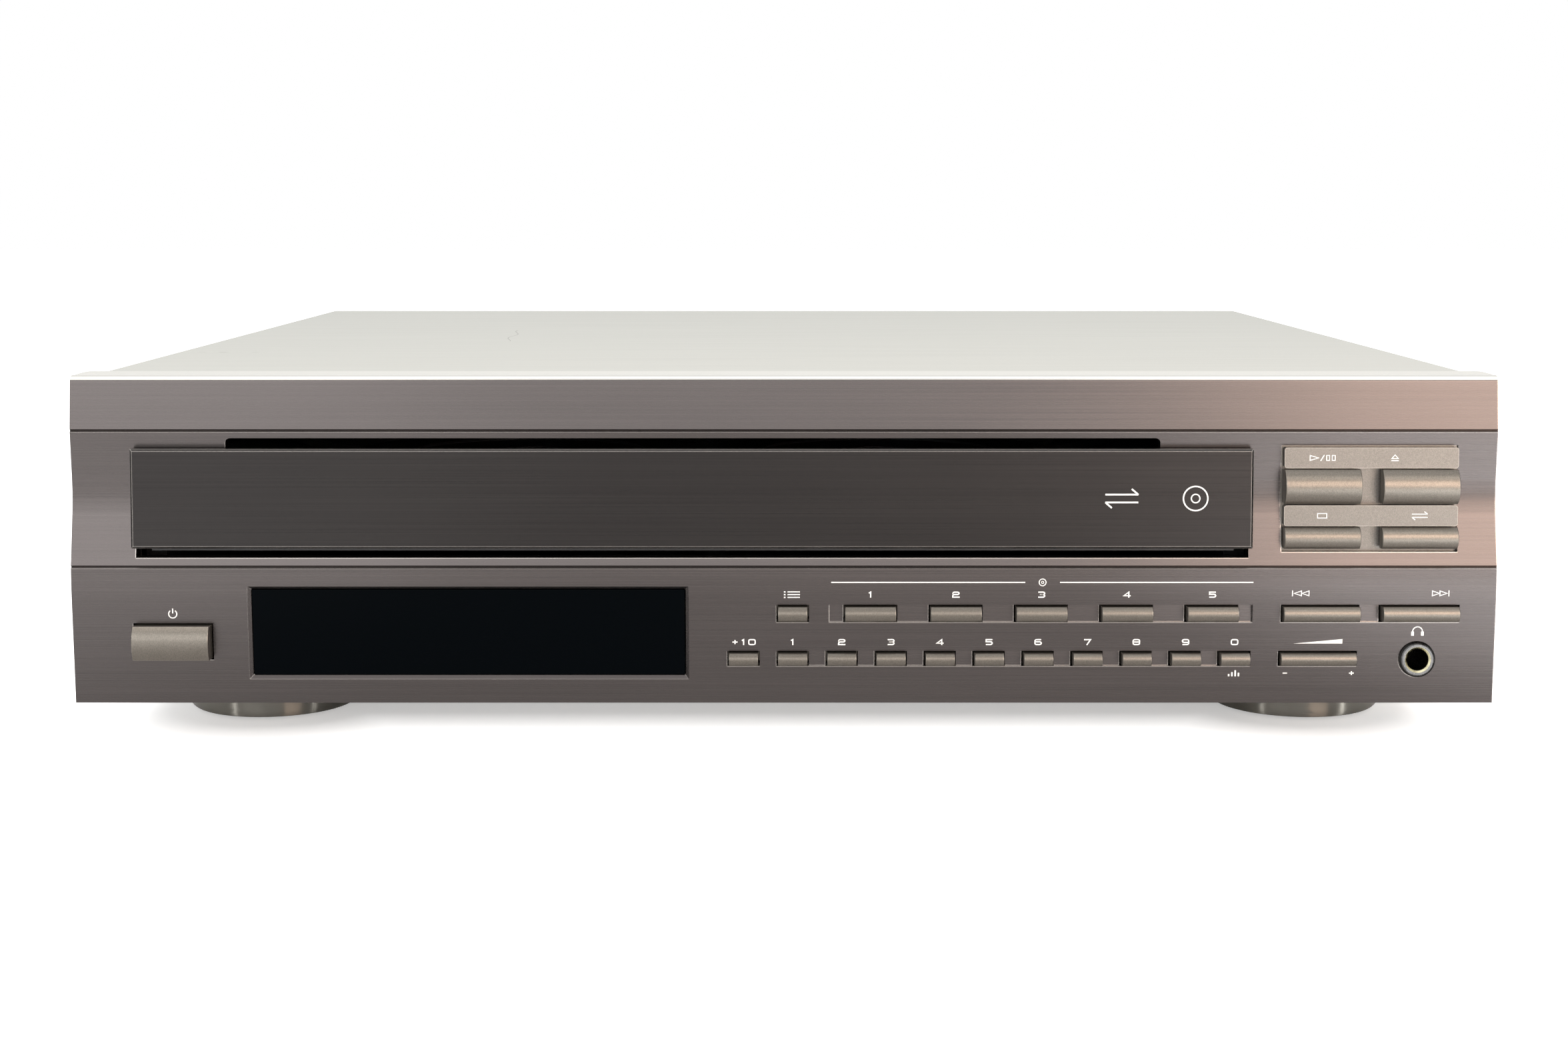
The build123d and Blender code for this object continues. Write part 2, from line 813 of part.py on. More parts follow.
# Transport keys: their caps lie in front of the surround and their necks pass through it
cap_back = block_base_y - key_travel - key_gap
for name, x, z, height, bulge in block_keys:
    with BuildPart() as block_key:
        extrude(cap_section(x - block_key_width / 2, cap_back, bar_front - cap_ahead, bulge, z, height),
                amount=block_key_width)
        fillet(block_key.edges().filter_by(GeomType.CIRCLE), key_round)
        box(x - neck_half_width, x + neck_half_width, cap_back, stem_end(key_travel),
            z - neck_half_height, z + neck_half_height)
    save(block_key.part, name)

# Level rocker: a bar that tips about upright pivot pins at its middle
with BuildPart() as level_rocker:
    extrude(cap_section(rocker_x - level_key_width / 2, flange_back,
                        surface_y(lower_row) - rocker_proud, small_key_bulge, lower_row,
                        small_key_height), amount=level_key_width)
    fillet(level_rocker.edges().filter_by(GeomType.CIRCLE), key_round)
    # The body behind the cap is drawn in so that it can tip in its hole
    for side in (-1, 1):
        x0, x1 = sorted((rocker_x + side * (level_key_width / 2 - rocker_draw),
                         rocker_x + side * level_key_width))
        box(x0, x1, surface_y(lower_row) + key_gap, flange_back + over,
            lower_row - small_key_height, lower_row + small_key_height, mode=Mode.SUBTRACT)
        x = rocker_x + side * rocker_switch_side
        box(x - stem_half_height, x + stem_half_height, flange_back, switch_front - rocker_post_gap,
            lower_row - stem_half_height, lower_row + stem_half_height)
    with Locations((rocker_x, rocker_pivot_y, lower_row)):
        Cylinder(rocker_pin_radius, 2 * (lower_row - rocker_lug_z + rocker_pin_reach - fit_gap))
save(level_rocker.part, "level_rocker")

# Display window and the display tube behind it
window_width = display_width - 2 * display_bevel - 2 * fit_gap
window_height = display_height - 2 * display_bevel - 2 * fit_gap
with BuildPart() as display_window:
    with BuildSketch(display_plane.offset(-display_recess)):
        Rectangle(window_width, window_height)
    extrude(amount=-window_thickness)
    box(display_centre_x - window_width / 2, display_centre_x + window_width / 2,
        surface_y(display_centre_z) + display_recess + window_step, fascia_back,
        display_centre_z - window_height / 2 + window_rim,
        display_centre_z + window_height / 2 - window_rim)
save(display_window.part, "display_window")

with BuildPart() as display_tube:
    box(display_centre_x - tube_half_width, display_centre_x + tube_half_width, web_back + tube_gap,
        web_back + tube_gap + tube_thickness, display_centre_z - tube_half_height,
        display_centre_z + tube_half_height)
    fillet(display_tube.edges().filter_by(Axis.Y), tube_round)
save(display_tube.part, "display_tube")

# Headphone socket: a ringed bush with its body on the board
phones_front = surface_y(phones_centre_z) - phones_proud
phones_plane = facing_front(phones_centre_x, phones_front, phones_centre_z)
with BuildPart() as headphone_socket:
    with BuildSketch(phones_plane):
        Circle(phones_radius)
    extrude(amount=phones_front - board_front)
    chamfer(headphone_socket.edges().filter_by(GeomType.CIRCLE).group_by(Axis.Y)[0], phones_edge)
    with BuildSketch(phones_plane.offset(phones_front - web_back)):
        Rectangle(phones_body_width, phones_body_height)
    extrude(amount=web_back - board_front)
    with BuildSketch(phones_plane):
        Circle(phones_bore)
    extrude(amount=phones_front - board_front + phones_end, mode=Mode.SUBTRACT)
    chamfer(
        headphone_socket.edges().filter_by(GeomType.CIRCLE).group_by(Axis.Y)[0].sort_by(SortBy.RADIUS)[0],
        phones_mouth,
    )
save(headphone_socket.part, "headphone_socket")

# Chassis pan with folded sides, two pressed ribs and cooling slots
deck_front = frame_back + sheet + deck_front_gap
deck_rear = spindle_y + deck_behind
with BuildPart() as chassis_base:
    box(-inner_half, inner_half, frame_back, rear_inner, chassis_bottom, chassis_top)
    for side in (-1, 1):
        x0, x1 = sorted((side * inner_half, side * (inner_half - sheet)))
        box(x0, x1, frame_back, rear_inner, chassis_bottom, chassis_bottom + chassis_flange)
        rib_x = drawer_x + side * rib_side
        rib_y0 = deck_front + rib_margin
        rib_y1 = deck_rear - rib_margin
        box(rib_x - rib_width / 2, rib_x + rib_width / 2, rib_y0, rib_y1, chassis_bottom,
            chassis_top + rib_height)
        box(rib_x - rib_width / 2 + sheet, rib_x + rib_width / 2 - sheet, rib_y0 + sheet, rib_y1 - sheet,
            chassis_bottom - over, chassis_bottom + rib_height, mode=Mode.SUBTRACT)
    box(-inner_half, inner_half, frame_back, frame_back + sheet, chassis_bottom,
        chassis_bottom + chassis_flange / 2)
    with Locations((inner_half - vent_side, carousel_y - vent_ahead, chassis_top)):
        with GridLocations(vent_pitch, vent_row_pitch, 4, 3):
            Box(vent_width, vent_length, 4 * sheet, mode=Mode.SUBTRACT)
save(chassis_base.part, "chassis_base")

# Rear panel with round holes for the sockets and the gland
gland_x = inner_half - gland_side
gland_z = chassis_top + gland_rise
line_out_x = inner_half - line_out_side
line_out_z = chassis_top + line_out_rise
line_out_heights = (line_out_z, line_out_z + line_out_pitch)
with BuildPart() as rear_panel:
    box(-inner_half, inner_half, rear_inner, rear_outer, chassis_bottom, panel_top - sheet)
    fillet(rear_panel.edges().filter_by(Axis.Y).group_by(Axis.Z)[-1], cover_fold)
    with BuildSketch(facing_rear(0, rear_inner, 0)):
        with Locations((gland_x, -gland_z)):
            Circle(gland_body + fit_gap)
        with Locations(*[(line_out_x, -z) for z in line_out_heights]):
            Circle(line_out_ring + fit_gap)
    extrude(amount=sheet, mode=Mode.SUBTRACT)
save(rear_panel.part, "rear_panel")

# Folded cover over the sides and the top
with BuildPart() as top_cover:
    with BuildSketch(Plane.XZ.offset(-frame_back)):
        with BuildLine():
            Polyline(
                (-cover_half, chassis_bottom),
                (-cover_half, panel_top),
                (cover_half, panel_top),
                (cover_half, chassis_bottom),
                (inner_half, chassis_bottom),
                (inner_half, panel_top - sheet),
                (-inner_half, panel_top - sheet),
                (-inner_half, chassis_bottom),
                close=True,
            )
        make_face()
        fillet(vertices().group_by(Axis.Y)[-1], cover_fold)
        fillet(vertices().filter_by_position(Axis.Y, panel_top - 1.01 * sheet, panel_top - 0.99 * sheet),
               cover_fold - sheet)
    extrude(amount=frame_back - rear_outer - rear_lip)
save(top_cover.part, "top_cover")

screw_z = chassis_bottom + chassis_flange / 2
with BuildPart() as case_screws:
    for side in (-1, 1):
        for y in (frame_back + screw_margin, rear_inner - screw_margin):
            with BuildSketch(Plane(origin=(side * cover_half, y, screw_z), z_dir=(side, 0, 0))):
                Circle(screw_radius)
            extrude(amount=screw_head)
    for x in (screw_margin - inner_half, 0, inner_half - screw_margin):
        with BuildSketch(facing_rear(x, rear_outer, panel_top - sheet - screw_drop)):
            Circle(screw_radius)
        extrude(amount=screw_head)
save(case_screws.part, "case_screws")

# Feet: turned front feet with a waist under the chassis, plain rear feet, and a pad under each
foot_x = half_width - foot_side
front_foot_y = ridge_y + front_foot_back
rear_foot_y = rear_outer - rear_foot_ahead
foot_top = chassis_bottom
with BuildPart() as front_feet:
    for side in (-1, 1):
        middle = side * foot_x
        with BuildSketch(Plane.XZ.offset(-front_foot_y)):
            with BuildLine():
                Polyline(
                    (middle, foot_clear),
                    (middle + foot_radius, foot_clear),
                    (middle + foot_radius, foot_top - foot_waist_drop),
                    (middle + foot_radius - foot_waist, foot_top - foot_waist),
                    (middle + foot_radius - foot_waist, foot_top),
                    (middle, foot_top),
                    close=True,
                )
            make_face()
            fillet(vertices().sort_by_distance((middle + foot_radius, foot_clear))[0], foot_round)
        revolve(axis=Axis((middle, front_foot_y, 0), (0, 0, 1)))
    with Locations((-foot_x, front_foot_y, 0), (foot_x, front_foot_y, 0)):
        Cylinder(pad_radius + fit_gap, 2 * pad_height, mode=Mode.SUBTRACT)
save(front_feet.part, "front_feet")

with BuildPart() as rear_feet:
    for side in (-1, 1):
        post(side * foot_x, rear_foot_y, foot_clear, rear_foot_radius, foot_top - foot_clear)
    chamfer(rear_feet.edges().filter_by(GeomType.CIRCLE).group_by(Axis.Z)[0], rear_foot_edge)
    with Locations((-foot_x, rear_foot_y, 0), (foot_x, rear_foot_y, 0)):
        Cylinder(pad_radius + fit_gap, 2 * pad_height, mode=Mode.SUBTRACT)
save(rear_feet.part, "rear_feet")

with BuildPart() as foot_pads:
    for y in (front_foot_y, rear_foot_y):
        for side in (-1, 1):
            post(side * foot_x, y, 0, pad_radius, pad_height)
save(foot_pads.part, "foot_pads")

# Line sockets: two phono pins on one body, each with a ring and a centre hole
with BuildPart() as line_out_sockets:
    box(line_out_x - line_out_body_half, line_out_x + line_out_body_half,
        rear_inner - line_out_body_depth, rear_inner, line_out_z - line_out_body_end,
        line_out_z + line_out_pitch + line_out_body_end)
    for z in line_out_heights:
        socket_plane = facing_rear(line_out_x, rear_inner, z)
        with BuildSketch(socket_plane):
            Circle(line_out_ring)
        extrude(amount=sheet + line_out_ring_height)
        with BuildSketch(socket_plane):
            Circle(line_out_radius)
        extrude(amount=sheet + socket_reach)
        with BuildSketch(socket_plane.offset(sheet + line_out_hole_start)):
            Circle(line_out_hole)
        extrude(amount=socket_reach, mode=Mode.SUBTRACT)
save(line_out_sockets.part, "line_out_sockets")

# Mains gland: a flanged bush through the rear panel
gland_plane = facing_rear(gland_x, rear_outer, gland_z)
with BuildPart() as mains_gland:
    with BuildSketch(gland_plane):
        Circle(gland_flange)
    extrude(amount=gland_flange_height)
    chamfer(mains_gland.edges().filter_by(GeomType.CIRCLE).group_by(Axis.Y)[-1], 1.0)
    with BuildSketch(gland_plane):
        Circle(gland_body)
    extrude(amount=-sheet - gland_inside)
    with BuildSketch(gland_plane.offset(gland_flange_height)):
        Circle(gland_bore)
    extrude(amount=-gland_flange_height - sheet - gland_inside, mode=Mode.SUBTRACT)
save(mains_gland.part, "mains_gland")

# Electronics beside the loader: main board on posts, and the transformer
wall_inner = tray_half + deck_wall_gap
wall_outer = wall_inner + deck_wall
board_z = chassis_top + main_board_lift
side_x = (drawer_x + wall_outer + inner_half) / 2
board_half = (inner_half - drawer_x - wall_outer) / 2 - main_board_margin
with BuildPart() as main_board:
    box(side_x - board_half, side_x + board_half, carousel_y - main_board_half_length,
        carousel_y + main_board_half_length, board_z, board_z + board)
    for dx in (-1, 1):
        for dy in (-1, 1):
            post(side_x + dx * (board_half - post_inset),
                 carousel_y + dy * (main_board_half_length - 1.5 * post_inset), chassis_top,
                 post_radius, board_z - chassis_top)
    # Two packaged circuits, a heat sink and two capacitors
    for x, y, width, length, height in (
        (side_x - 8, carousel_y - 34, 12, 12, 3.4),
        (side_x - 10, carousel_y + 7, 12, 22, 2.9),
        (side_x + 9.5, carousel_y + 40, 3, 40, heat_sink_height),
    ):
        box(x - width / 2, x + width / 2, y - length / 2, y + length / 2, board_z + board,
            board_z + board + height)
    for y in (carousel_y + 44, carousel_y + 70):
        post(side_x - capacitor_radius, y, board_z + board, capacitor_radius, capacitor_height)
save(main_board.part, "main_board")

transformer_y = rear_inner - transformer_ahead
with BuildPart() as transformer:
    box(side_x - winding_half_width, side_x + winding_half_width,
        transformer_y - winding_half_depth, transformer_y + winding_half_depth,
        chassis_top + winding_inset + sheet, chassis_top + transformer_top - winding_inset)
    fillet(transformer.edges().filter_by(Axis.Y), winding_round)
    box(side_x - transformer_half_width, side_x + transformer_half_width,
        transformer_y - transformer_half_depth, transformer_y + transformer_half_depth,
        chassis_top, chassis_top + transformer_top)
    box(side_x - transformer_half_width - transformer_foot,
        side_x + transformer_half_width + transformer_foot, transformer_y - winding_half_depth,
        transformer_y + winding_half_depth, chassis_top, chassis_top + sheet)
save(transformer.part, "transformer")

# Loader deck: floor, side walls with the rail grooves, posts, guides and the motor shelf
rack_pitch_half = tray_half + rail_reach - 0.9 * rack_module
rack_pitch_x = drawer_x + rack_pitch_half
drive_x = rack_pitch_x + rack_module * drive_teeth / 2
drive_y = deck_front + drive_back
drive_pinion_x = drive_x + rack_module * (drive_teeth + drive_pinion_teeth) / 2
drive_z = rail_z - gear_drop
shelf_top = rail_z - shelf_drop
shelf_bottom = shelf_top - shelf_thickness
lift_front = spindle_y - lift_ahead
lift_rear = spindle_y + lift_behind
cam_back = lift_front - lift_gap
cam_front = cam_back - cam_thickness
cam_rack_y = cam_front - 1.15 * rack_module
lift_gear_x = drawer_x
lift_gear_y = cam_rack_y - rack_module * lift_gear_teeth / 2
guide_x = lift_half + guide_side
guide_y = spindle_y + guide_behind
with BuildPart() as mech_deck:
    box(drawer_x - wall_outer, drawer_x + wall_outer, deck_front, deck_rear, deck_bottom, deck_top)
    for side in (-1, 1):
        side_box(side, wall_inner, wall_outer, deck_front, deck_rear, deck_bottom, deck_wall_top)
        side_box(side, wall_inner - over, tray_half + rail_reach + rail_side_gap, deck_front - over,
                 deck_rear + over, rail_z - rail_gap, rail_z + rail_height + rail_gap,
                 mode=Mode.SUBTRACT)
    # Feet of the deck on the chassis
    for dx in (-1, 0, 1):
        for y in (deck_front + deck_foot_inset, (deck_front + deck_rear) / 2,
                  deck_rear - deck_foot_inset):
            post(drawer_x + dx * (wall_outer - deck_foot_inset), y, chassis_top, deck_foot_radius,
                 deck_bottom - chassis_top)
    # Window in the right wall where the drive gear reaches the rack
    box(drawer_x + wall_inner - over, drawer_x + wall_outer + over, drive_y - drive_window_half,
        drive_y + drive_window_half, drive_z - over, rail_z + gear_height + over, mode=Mode.SUBTRACT)
    # Shelf for the drive gear and the drawer motor
    box(drawer_x + wall_outer - over / 2, drive_pinion_x + motor_radius + over,
        drive_y - shelf_half_depth, drive_y + shelf_half_depth, shelf_bottom, shelf_top)
    post(drive_pinion_x, drive_y, shelf_bottom - over, shelf_bore, shelf_thickness + 2 * over,
         mode=Mode.SUBTRACT)
    post(drive_x, drive_y, shelf_top, gear_post, rail_z + gear_height + over - shelf_top)
    # Guides for the cam slider
    for y0, y1 in ((cam_front - cam_guide_gap - cam_guide_width, cam_front - cam_guide_gap),
                   (cam_back + cam_guide_gap, cam_back + cam_guide_gap + cam_guide_width)):
        box(drawer_x - cam_guide_half, drawer_x + cam_guide_half, y0, y1, deck_top,
            deck_top + cam_guide_height)
    # Guide posts of the lift unit
    for side in (-1, 1):
        post(drawer_x + side * guide_x, guide_y, deck_top, guide_radius,
             lift_floor_z + ear_height + lift_travel + guide_spare - deck_top)
save(mech_deck.part, "mech_deck")

# Drawer motor under the shelf and lift motor on the deck floor, two of a kind
lift_rack_z = tray_bottom - cam_below - gear_height
with BuildPart() as drive_motors:
    for x, y, z, shaft_top in (
        (drive_pinion_x, drive_y, shelf_bottom - motor_height, rail_z + gear_height + gear_drop),
        (lift_gear_x, lift_gear_y, deck_top, lift_rack_z + gear_height + gear_drop),
    ):
        post(x, y, z, motor_radius, motor_height)
        post(x, y, z + motor_height, motor_collar, motor_collar_height)
        post(x, y, z + motor_height, motor_shaft, shaft_top - z - motor_height)
    chamfer(drive_motors.edges().filter_by(lambda edge: edge.geom_type == GeomType.CIRCLE
                                           and abs(edge.radius - motor_radius) < fit_gap), motor_edge)
save(drive_motors.part, "drive_motors")


def make_gear(name, centre, module, teeth, first_angle, height, bore):
    """A spur gear standing on centre, with a bore that runs on its shaft."""
    with BuildPart() as gear:
        with BuildSketch(Plane.XY.offset(centre[2])):
            with Locations((centre[0], centre[1])):
                Polygon(*gear_points(module, teeth, first_angle, 3), align=None)
                Circle(bore, mode=Mode.SUBTRACT)
        extrude(amount=height)
    save(gear.part, name)


make_gear("drive_gear", (drive_x, drive_y, drive_z), rack_module, drive_teeth, 180,
          gear_height, gear_post + shaft_gap)
make_gear("drive_pinion", (drive_pinion_x, drive_y, drive_z), rack_module, drive_pinion_teeth,
          180 + 180 / drive_pinion_teeth, gear_height, motor_shaft + shaft_gap / 2)
make_gear("lift_gear", (lift_gear_x, lift_gear_y, lift_rack_z), rack_module, lift_gear_teeth, 90,
          gear_height, motor_shaft + shaft_gap / 2)

# Cam slider: a plate with two slanting slots and a rack along its front
cam_left = drawer_x - cam_pin_spread / 2 - cam_travel - cam_end
cam_right = drawer_x + cam_pin_spread / 2 + cam_end
cam_pin_z = lift_floor_z - cam_pin_drop
slot_run = hypot(cam_travel, lift_travel)
slot_lean = degrees(acos(cam_travel / slot_run))
with BuildPart() as cam_slider:
    box(cam_left, cam_right, cam_front, cam_back, deck_top + cam_guide_gap, tray_bottom - cam_below)
    with BuildSketch(Plane.XZ.offset(-cam_back - over)):
        for side in (-1, 1):
            pin_x = drawer_x + side * cam_pin_spread / 2
            with Locations((pin_x - cam_travel / 2, cam_pin_z + lift_travel / 2)):
                SlotCenterToCenter(slot_run, 2 * (cam_pin_radius + slot_clearance),
                                   rotation=-slot_lean)
    extrude(amount=cam_thickness + 2 * over, mode=Mode.SUBTRACT)
    with BuildSketch(Plane(origin=(lift_gear_x, cam_rack_y, lift_rack_z), x_dir=(-1, 0, 0),
                           z_dir=(0, 0, 1))):
        with Locations((rack_ahead * pi * rack_module, 0)):
            Polygon(*rack_points(rack_module, cam_rack_teeth, cam_thickness / 2), align=None)
    extrude(amount=gear_height)
save(cam_slider.part, "cam_slider")

# Lift unit: a shallow tub with a skirt, cam pins, guide ears, motor boss and rod posts
rod_z = lift_floor_z + rod_rise
rod_front = spindle_y + rod_start
with BuildPart() as lift_frame:
    box(drawer_x - lift_half, drawer_x + lift_half, lift_front, lift_rear, lift_floor_z,
        lift_floor_z + lift_height)
    fillet(lift_frame.edges().filter_by(Axis.Z), lift_corner)
    box(drawer_x - lift_half + lift_wall, drawer_x + lift_half - lift_wall, lift_front + lift_wall,
        lift_rear - lift_wall, lift_floor_z + lift_wall, lift_floor_z + lift_height + over,
        mode=Mode.SUBTRACT)
    box(drawer_x - lift_half + skirt_inset, drawer_x + lift_half - skirt_inset, lift_front,
        lift_front + lift_wall, cam_pin_z - 2 * cam_pin_radius, lift_floor_z + lift_height)
    for side in (-1, 1):
        with BuildSketch(facing_front(drawer_x + side * cam_pin_spread / 2, lift_front, cam_pin_z)):
            Circle(cam_pin_radius)
        extrude(amount=lift_front - cam_front)
        side_box(side, lift_half - over, guide_x + ear_half, guide_y - ear_half, guide_y + ear_half,
                 lift_floor_z, lift_floor_z + ear_height)
        post(drawer_x + side * guide_x, guide_y, lift_floor_z - over, guide_radius + guide_gap,
             ear_height + 2 * over, mode=Mode.SUBTRACT)
        for y0 in (rod_front, lift_rear - rod_post_depth):
            side_box(side, rod_spread / 2 - rod_post_half, rod_spread / 2 + rod_post_half, y0,
                     y0 + rod_post_depth, lift_floor_z + over, rod_z + rod_post_over)
    post(drawer_x, spindle_y, lift_floor_z + over, spindle_boss, lift_height - over)
    post(drawer_x, spindle_y, lift_floor_z - over, spindle_radius + shaft_gap / 2,
         lift_height + 2 * over, mode=Mode.SUBTRACT)
    for side in (-1, 1):
        with BuildSketch(Plane.XZ.offset(-rod_front)):
            with Locations((drawer_x + side * rod_spread / 2, rod_z)):
                Circle(rod_radius)
        extrude(amount=rod_front - lift_rear - over, mode=Mode.SUBTRACT)
save(lift_frame.part, "lift_frame")

with BuildPart() as sled_rods:
    for side in (-1, 1):
        with BuildSketch(Plane.XZ.offset(-rod_front)):
            with Locations((drawer_x + side * rod_spread / 2, rod_z)):
                Circle(rod_radius)
        extrude(amount=rod_front - lift_rear)
save(sled_rods.part, "sled_rods")

# Spindle: shaft, hub, turntable and centring cone
turntable_z = carousel_bottom - turntable_drop
spindle_foot = lift_floor_z + spindle_lift
boss_top = lift_floor_z + lift_height
with BuildPart() as spindle:
    with BuildSketch(Plane.XZ.offset(-spindle_y)):
        with BuildLine():
            Polyline(
                (drawer_x, spindle_foot),
                (drawer_x + spindle_radius, spindle_foot),
                (drawer_x + spindle_radius, boss_top + over),
                (drawer_x + spindle_neck, boss_top + over),
                (drawer_x + spindle_neck, turntable_z - turntable_thickness),
                (drawer_x + turntable_radius, turntable_z - turntable_thickness),
                (drawer_x + turntable_radius, turntable_z),
                (drawer_x + cone_radius, turntable_z),
                (drawer_x + cone_radius - cone_draft, turntable_z + cone_shoulder),
                (drawer_x + cone_top_radius, turntable_z + cone_height),
                (drawer_x, turntable_z + cone_height),
                close=True,
            )
        make_face()
    revolve(axis=Axis((drawer_x, spindle_y, 0), (0, 0, 1)))
save(spindle.part, "spindle")

# Pickup: a sledge on the two rods with the lens on top
lens_y = spindle_y + lens_start
pickup_top = turntable_z - pickup_drop
with BuildPart() as pickup:
    box(drawer_x - rod_spread / 2 - sledge_side, drawer_x + rod_spread / 2 + sledge_side,
        lens_y - sledge_half_depth, lens_y + sledge_half_depth, rod_z - sledge_below,
        rod_z + sledge_above)
    box(drawer_x - pickup_half_width, drawer_x + pickup_half_width, lens_y - pickup_half_depth,
        lens_y + pickup_half_depth, rod_z - sledge_below, pickup_top)
    fillet(pickup.edges().filter_by(Axis.Z).group_by(Axis.X)[0], pickup_round)
    post(drawer_x, lens_y, pickup_top, lens_mount_radius, lens_mount_height)
    post(drawer_x, lens_y, pickup_top, lens_radius, lens_height)
    for side in (-1, 1):
        with BuildSketch(Plane.XZ.offset(-(lens_y - sledge_half_depth))):
            with Locations((drawer_x + side * rod_spread / 2, rod_z)):
                Circle(rod_radius + rod_play)
        extrude(amount=-2 * sledge_half_depth, mode=Mode.SUBTRACT)
save(pickup.part, "pickup")

# Clamp bridge over the carousel and the puck that hangs in it
disc_top = turntable_z + lift_travel + disc_thickness
puck_bottom = disc_top + clamp_play
bridge_bottom = carousel_top + bridge_over
bridge_plate = bridge_bottom + bridge_flange
bridge_top = bridge_plate + bridge_sheet
bridge_front = spindle_y - bridge_width / 2
bridge_rear = spindle_y + bridge_width / 2
with BuildPart() as clamp_bridge:
    box(drawer_x - wall_outer, drawer_x + wall_outer, bridge_front, bridge_rear, bridge_plate,
        bridge_top)
    for y0 in (bridge_front, bridge_rear - bridge_sheet):
        box(drawer_x - wall_outer, drawer_x + wall_outer, y0, y0 + bridge_sheet, bridge_bottom,
            bridge_plate)
    for side in (-1, 1):
        side_box(side, wall_outer - bridge_leg, wall_outer, bridge_front, bridge_rear, deck_wall_top,
                 bridge_plate)
    post(drawer_x, spindle_y, bridge_plate - over, puck_radius + puck_play, bridge_sheet + 2 * over,
         mode=Mode.SUBTRACT)
save(clamp_bridge.part, "clamp_bridge")

puck_seat = bridge_top + puck_lift
with BuildPart() as clamp_puck:
    post(drawer_x, spindle_y, puck_bottom, puck_radius, puck_seat - puck_bottom)
    post(drawer_x, spindle_y, puck_seat, puck_flange, puck_flange_height)
    post(drawer_x, spindle_y, puck_bottom - over, puck_recess, puck_recess_depth + over,
         mode=Mode.SUBTRACT)
    chamfer(clamp_puck.edges().filter_by(GeomType.CIRCLE).group_by(Axis.Z)[-1], motor_edge)
save(clamp_puck.part, "clamp_puck")

# Drawer tray: floor, round pocket, hollow corners, rails and the toothed right rail
lift_slot_half = guide_x + ear_half + tray_wall
lift_slot_front = lift_front - lift_gap - over
rack_teeth_count = int((drawer_travel + rack_spare) / (pi * rack_module)) // 2 * 2
rack_gap_y = drive_y + pi * rack_module * (rack_teeth_count // 2 - rack_ahead)
rail_root = tray_half - over / 2
with BuildPart() as drawer_tray:
    box(drawer_x - tray_half, drawer_x + tray_half, tray_front, tray_rear, tray_bottom, tray_top)
    fillet(drawer_tray.edges().filter_by(Axis.Z).group_by(Axis.Y)[-1], tray_corner)
    post(drawer_x, carousel_y, tray_floor_top, pocket_radius, tray_height, mode=Mode.SUBTRACT)
    # Hollow corners, open below
    with BuildSketch(Plane.XY.offset(tray_bottom)):
        with Locations((drawer_x, (tray_front + tray_rear) / 2)):
            Rectangle(2 * (tray_half - tray_skin), tray_rear - tray_front - 2 * tray_skin)
        with Locations((drawer_x, carousel_y)):
            Circle(pocket_radius + tray_wall, mode=Mode.SUBTRACT)
    extrude(amount=tray_height - tray_wall, mode=Mode.SUBTRACT)
    # Plain left rail and toothed right rail
    box(drawer_x - tray_half - rail_reach, drawer_x - rail_root, tray_front + rail_setback, tray_rear,
        rail_z, rail_z + rail_height)
    with BuildSketch(Plane(origin=(rack_pitch_x, rack_gap_y, rail_z), x_dir=(0, -1, 0),
                           z_dir=(0, 0, 1))):
        Polygon(*rack_points(rack_module, rack_teeth_count, rack_pitch_half - rail_root), align=None)
    extrude(amount=rail_height)
    # Slot that lets the raised lift unit stand while the drawer moves
    box(drawer_x - lift_slot_half, drawer_x + lift_slot_half, lift_slot_front, tray_rear + over,
        tray_bottom - over, tray_top + over, mode=Mode.SUBTRACT)
    # Hub post and pin of the carousel
    post(drawer_x, carousel_y, tray_floor_top - over / 2, hub_radius - hub_post_inset,
         motor_space - hub_play + over / 2)
    post(drawer_x, carousel_y, tray_floor_top - over / 2, hub_pin_radius,
         carousel_top + over / 2 - tray_floor_top)
save(drawer_tray.part, "drawer_tray")

# Drawer door: a proud skin with bright edges and a plug that fills the opening
door_front = ridge_y - door_proud
with BuildPart() as drawer_door:
    box(drawer_x - door_half, drawer_x + door_half, door_front, door_front + door_skin,
        door_bottom, door_top)
    chamfer(drawer_door.faces().sort_by(Axis.Y)[0].edges(), door_edge)
    box(drawer_x - tray_half - door_plug_side, drawer_x + tray_half + door_plug_side,
        door_front + door_skin, tray_front, door_bottom + door_plug_gap / 2,
        opening_top - door_plug_gap)
save(drawer_door.part, "drawer_door")

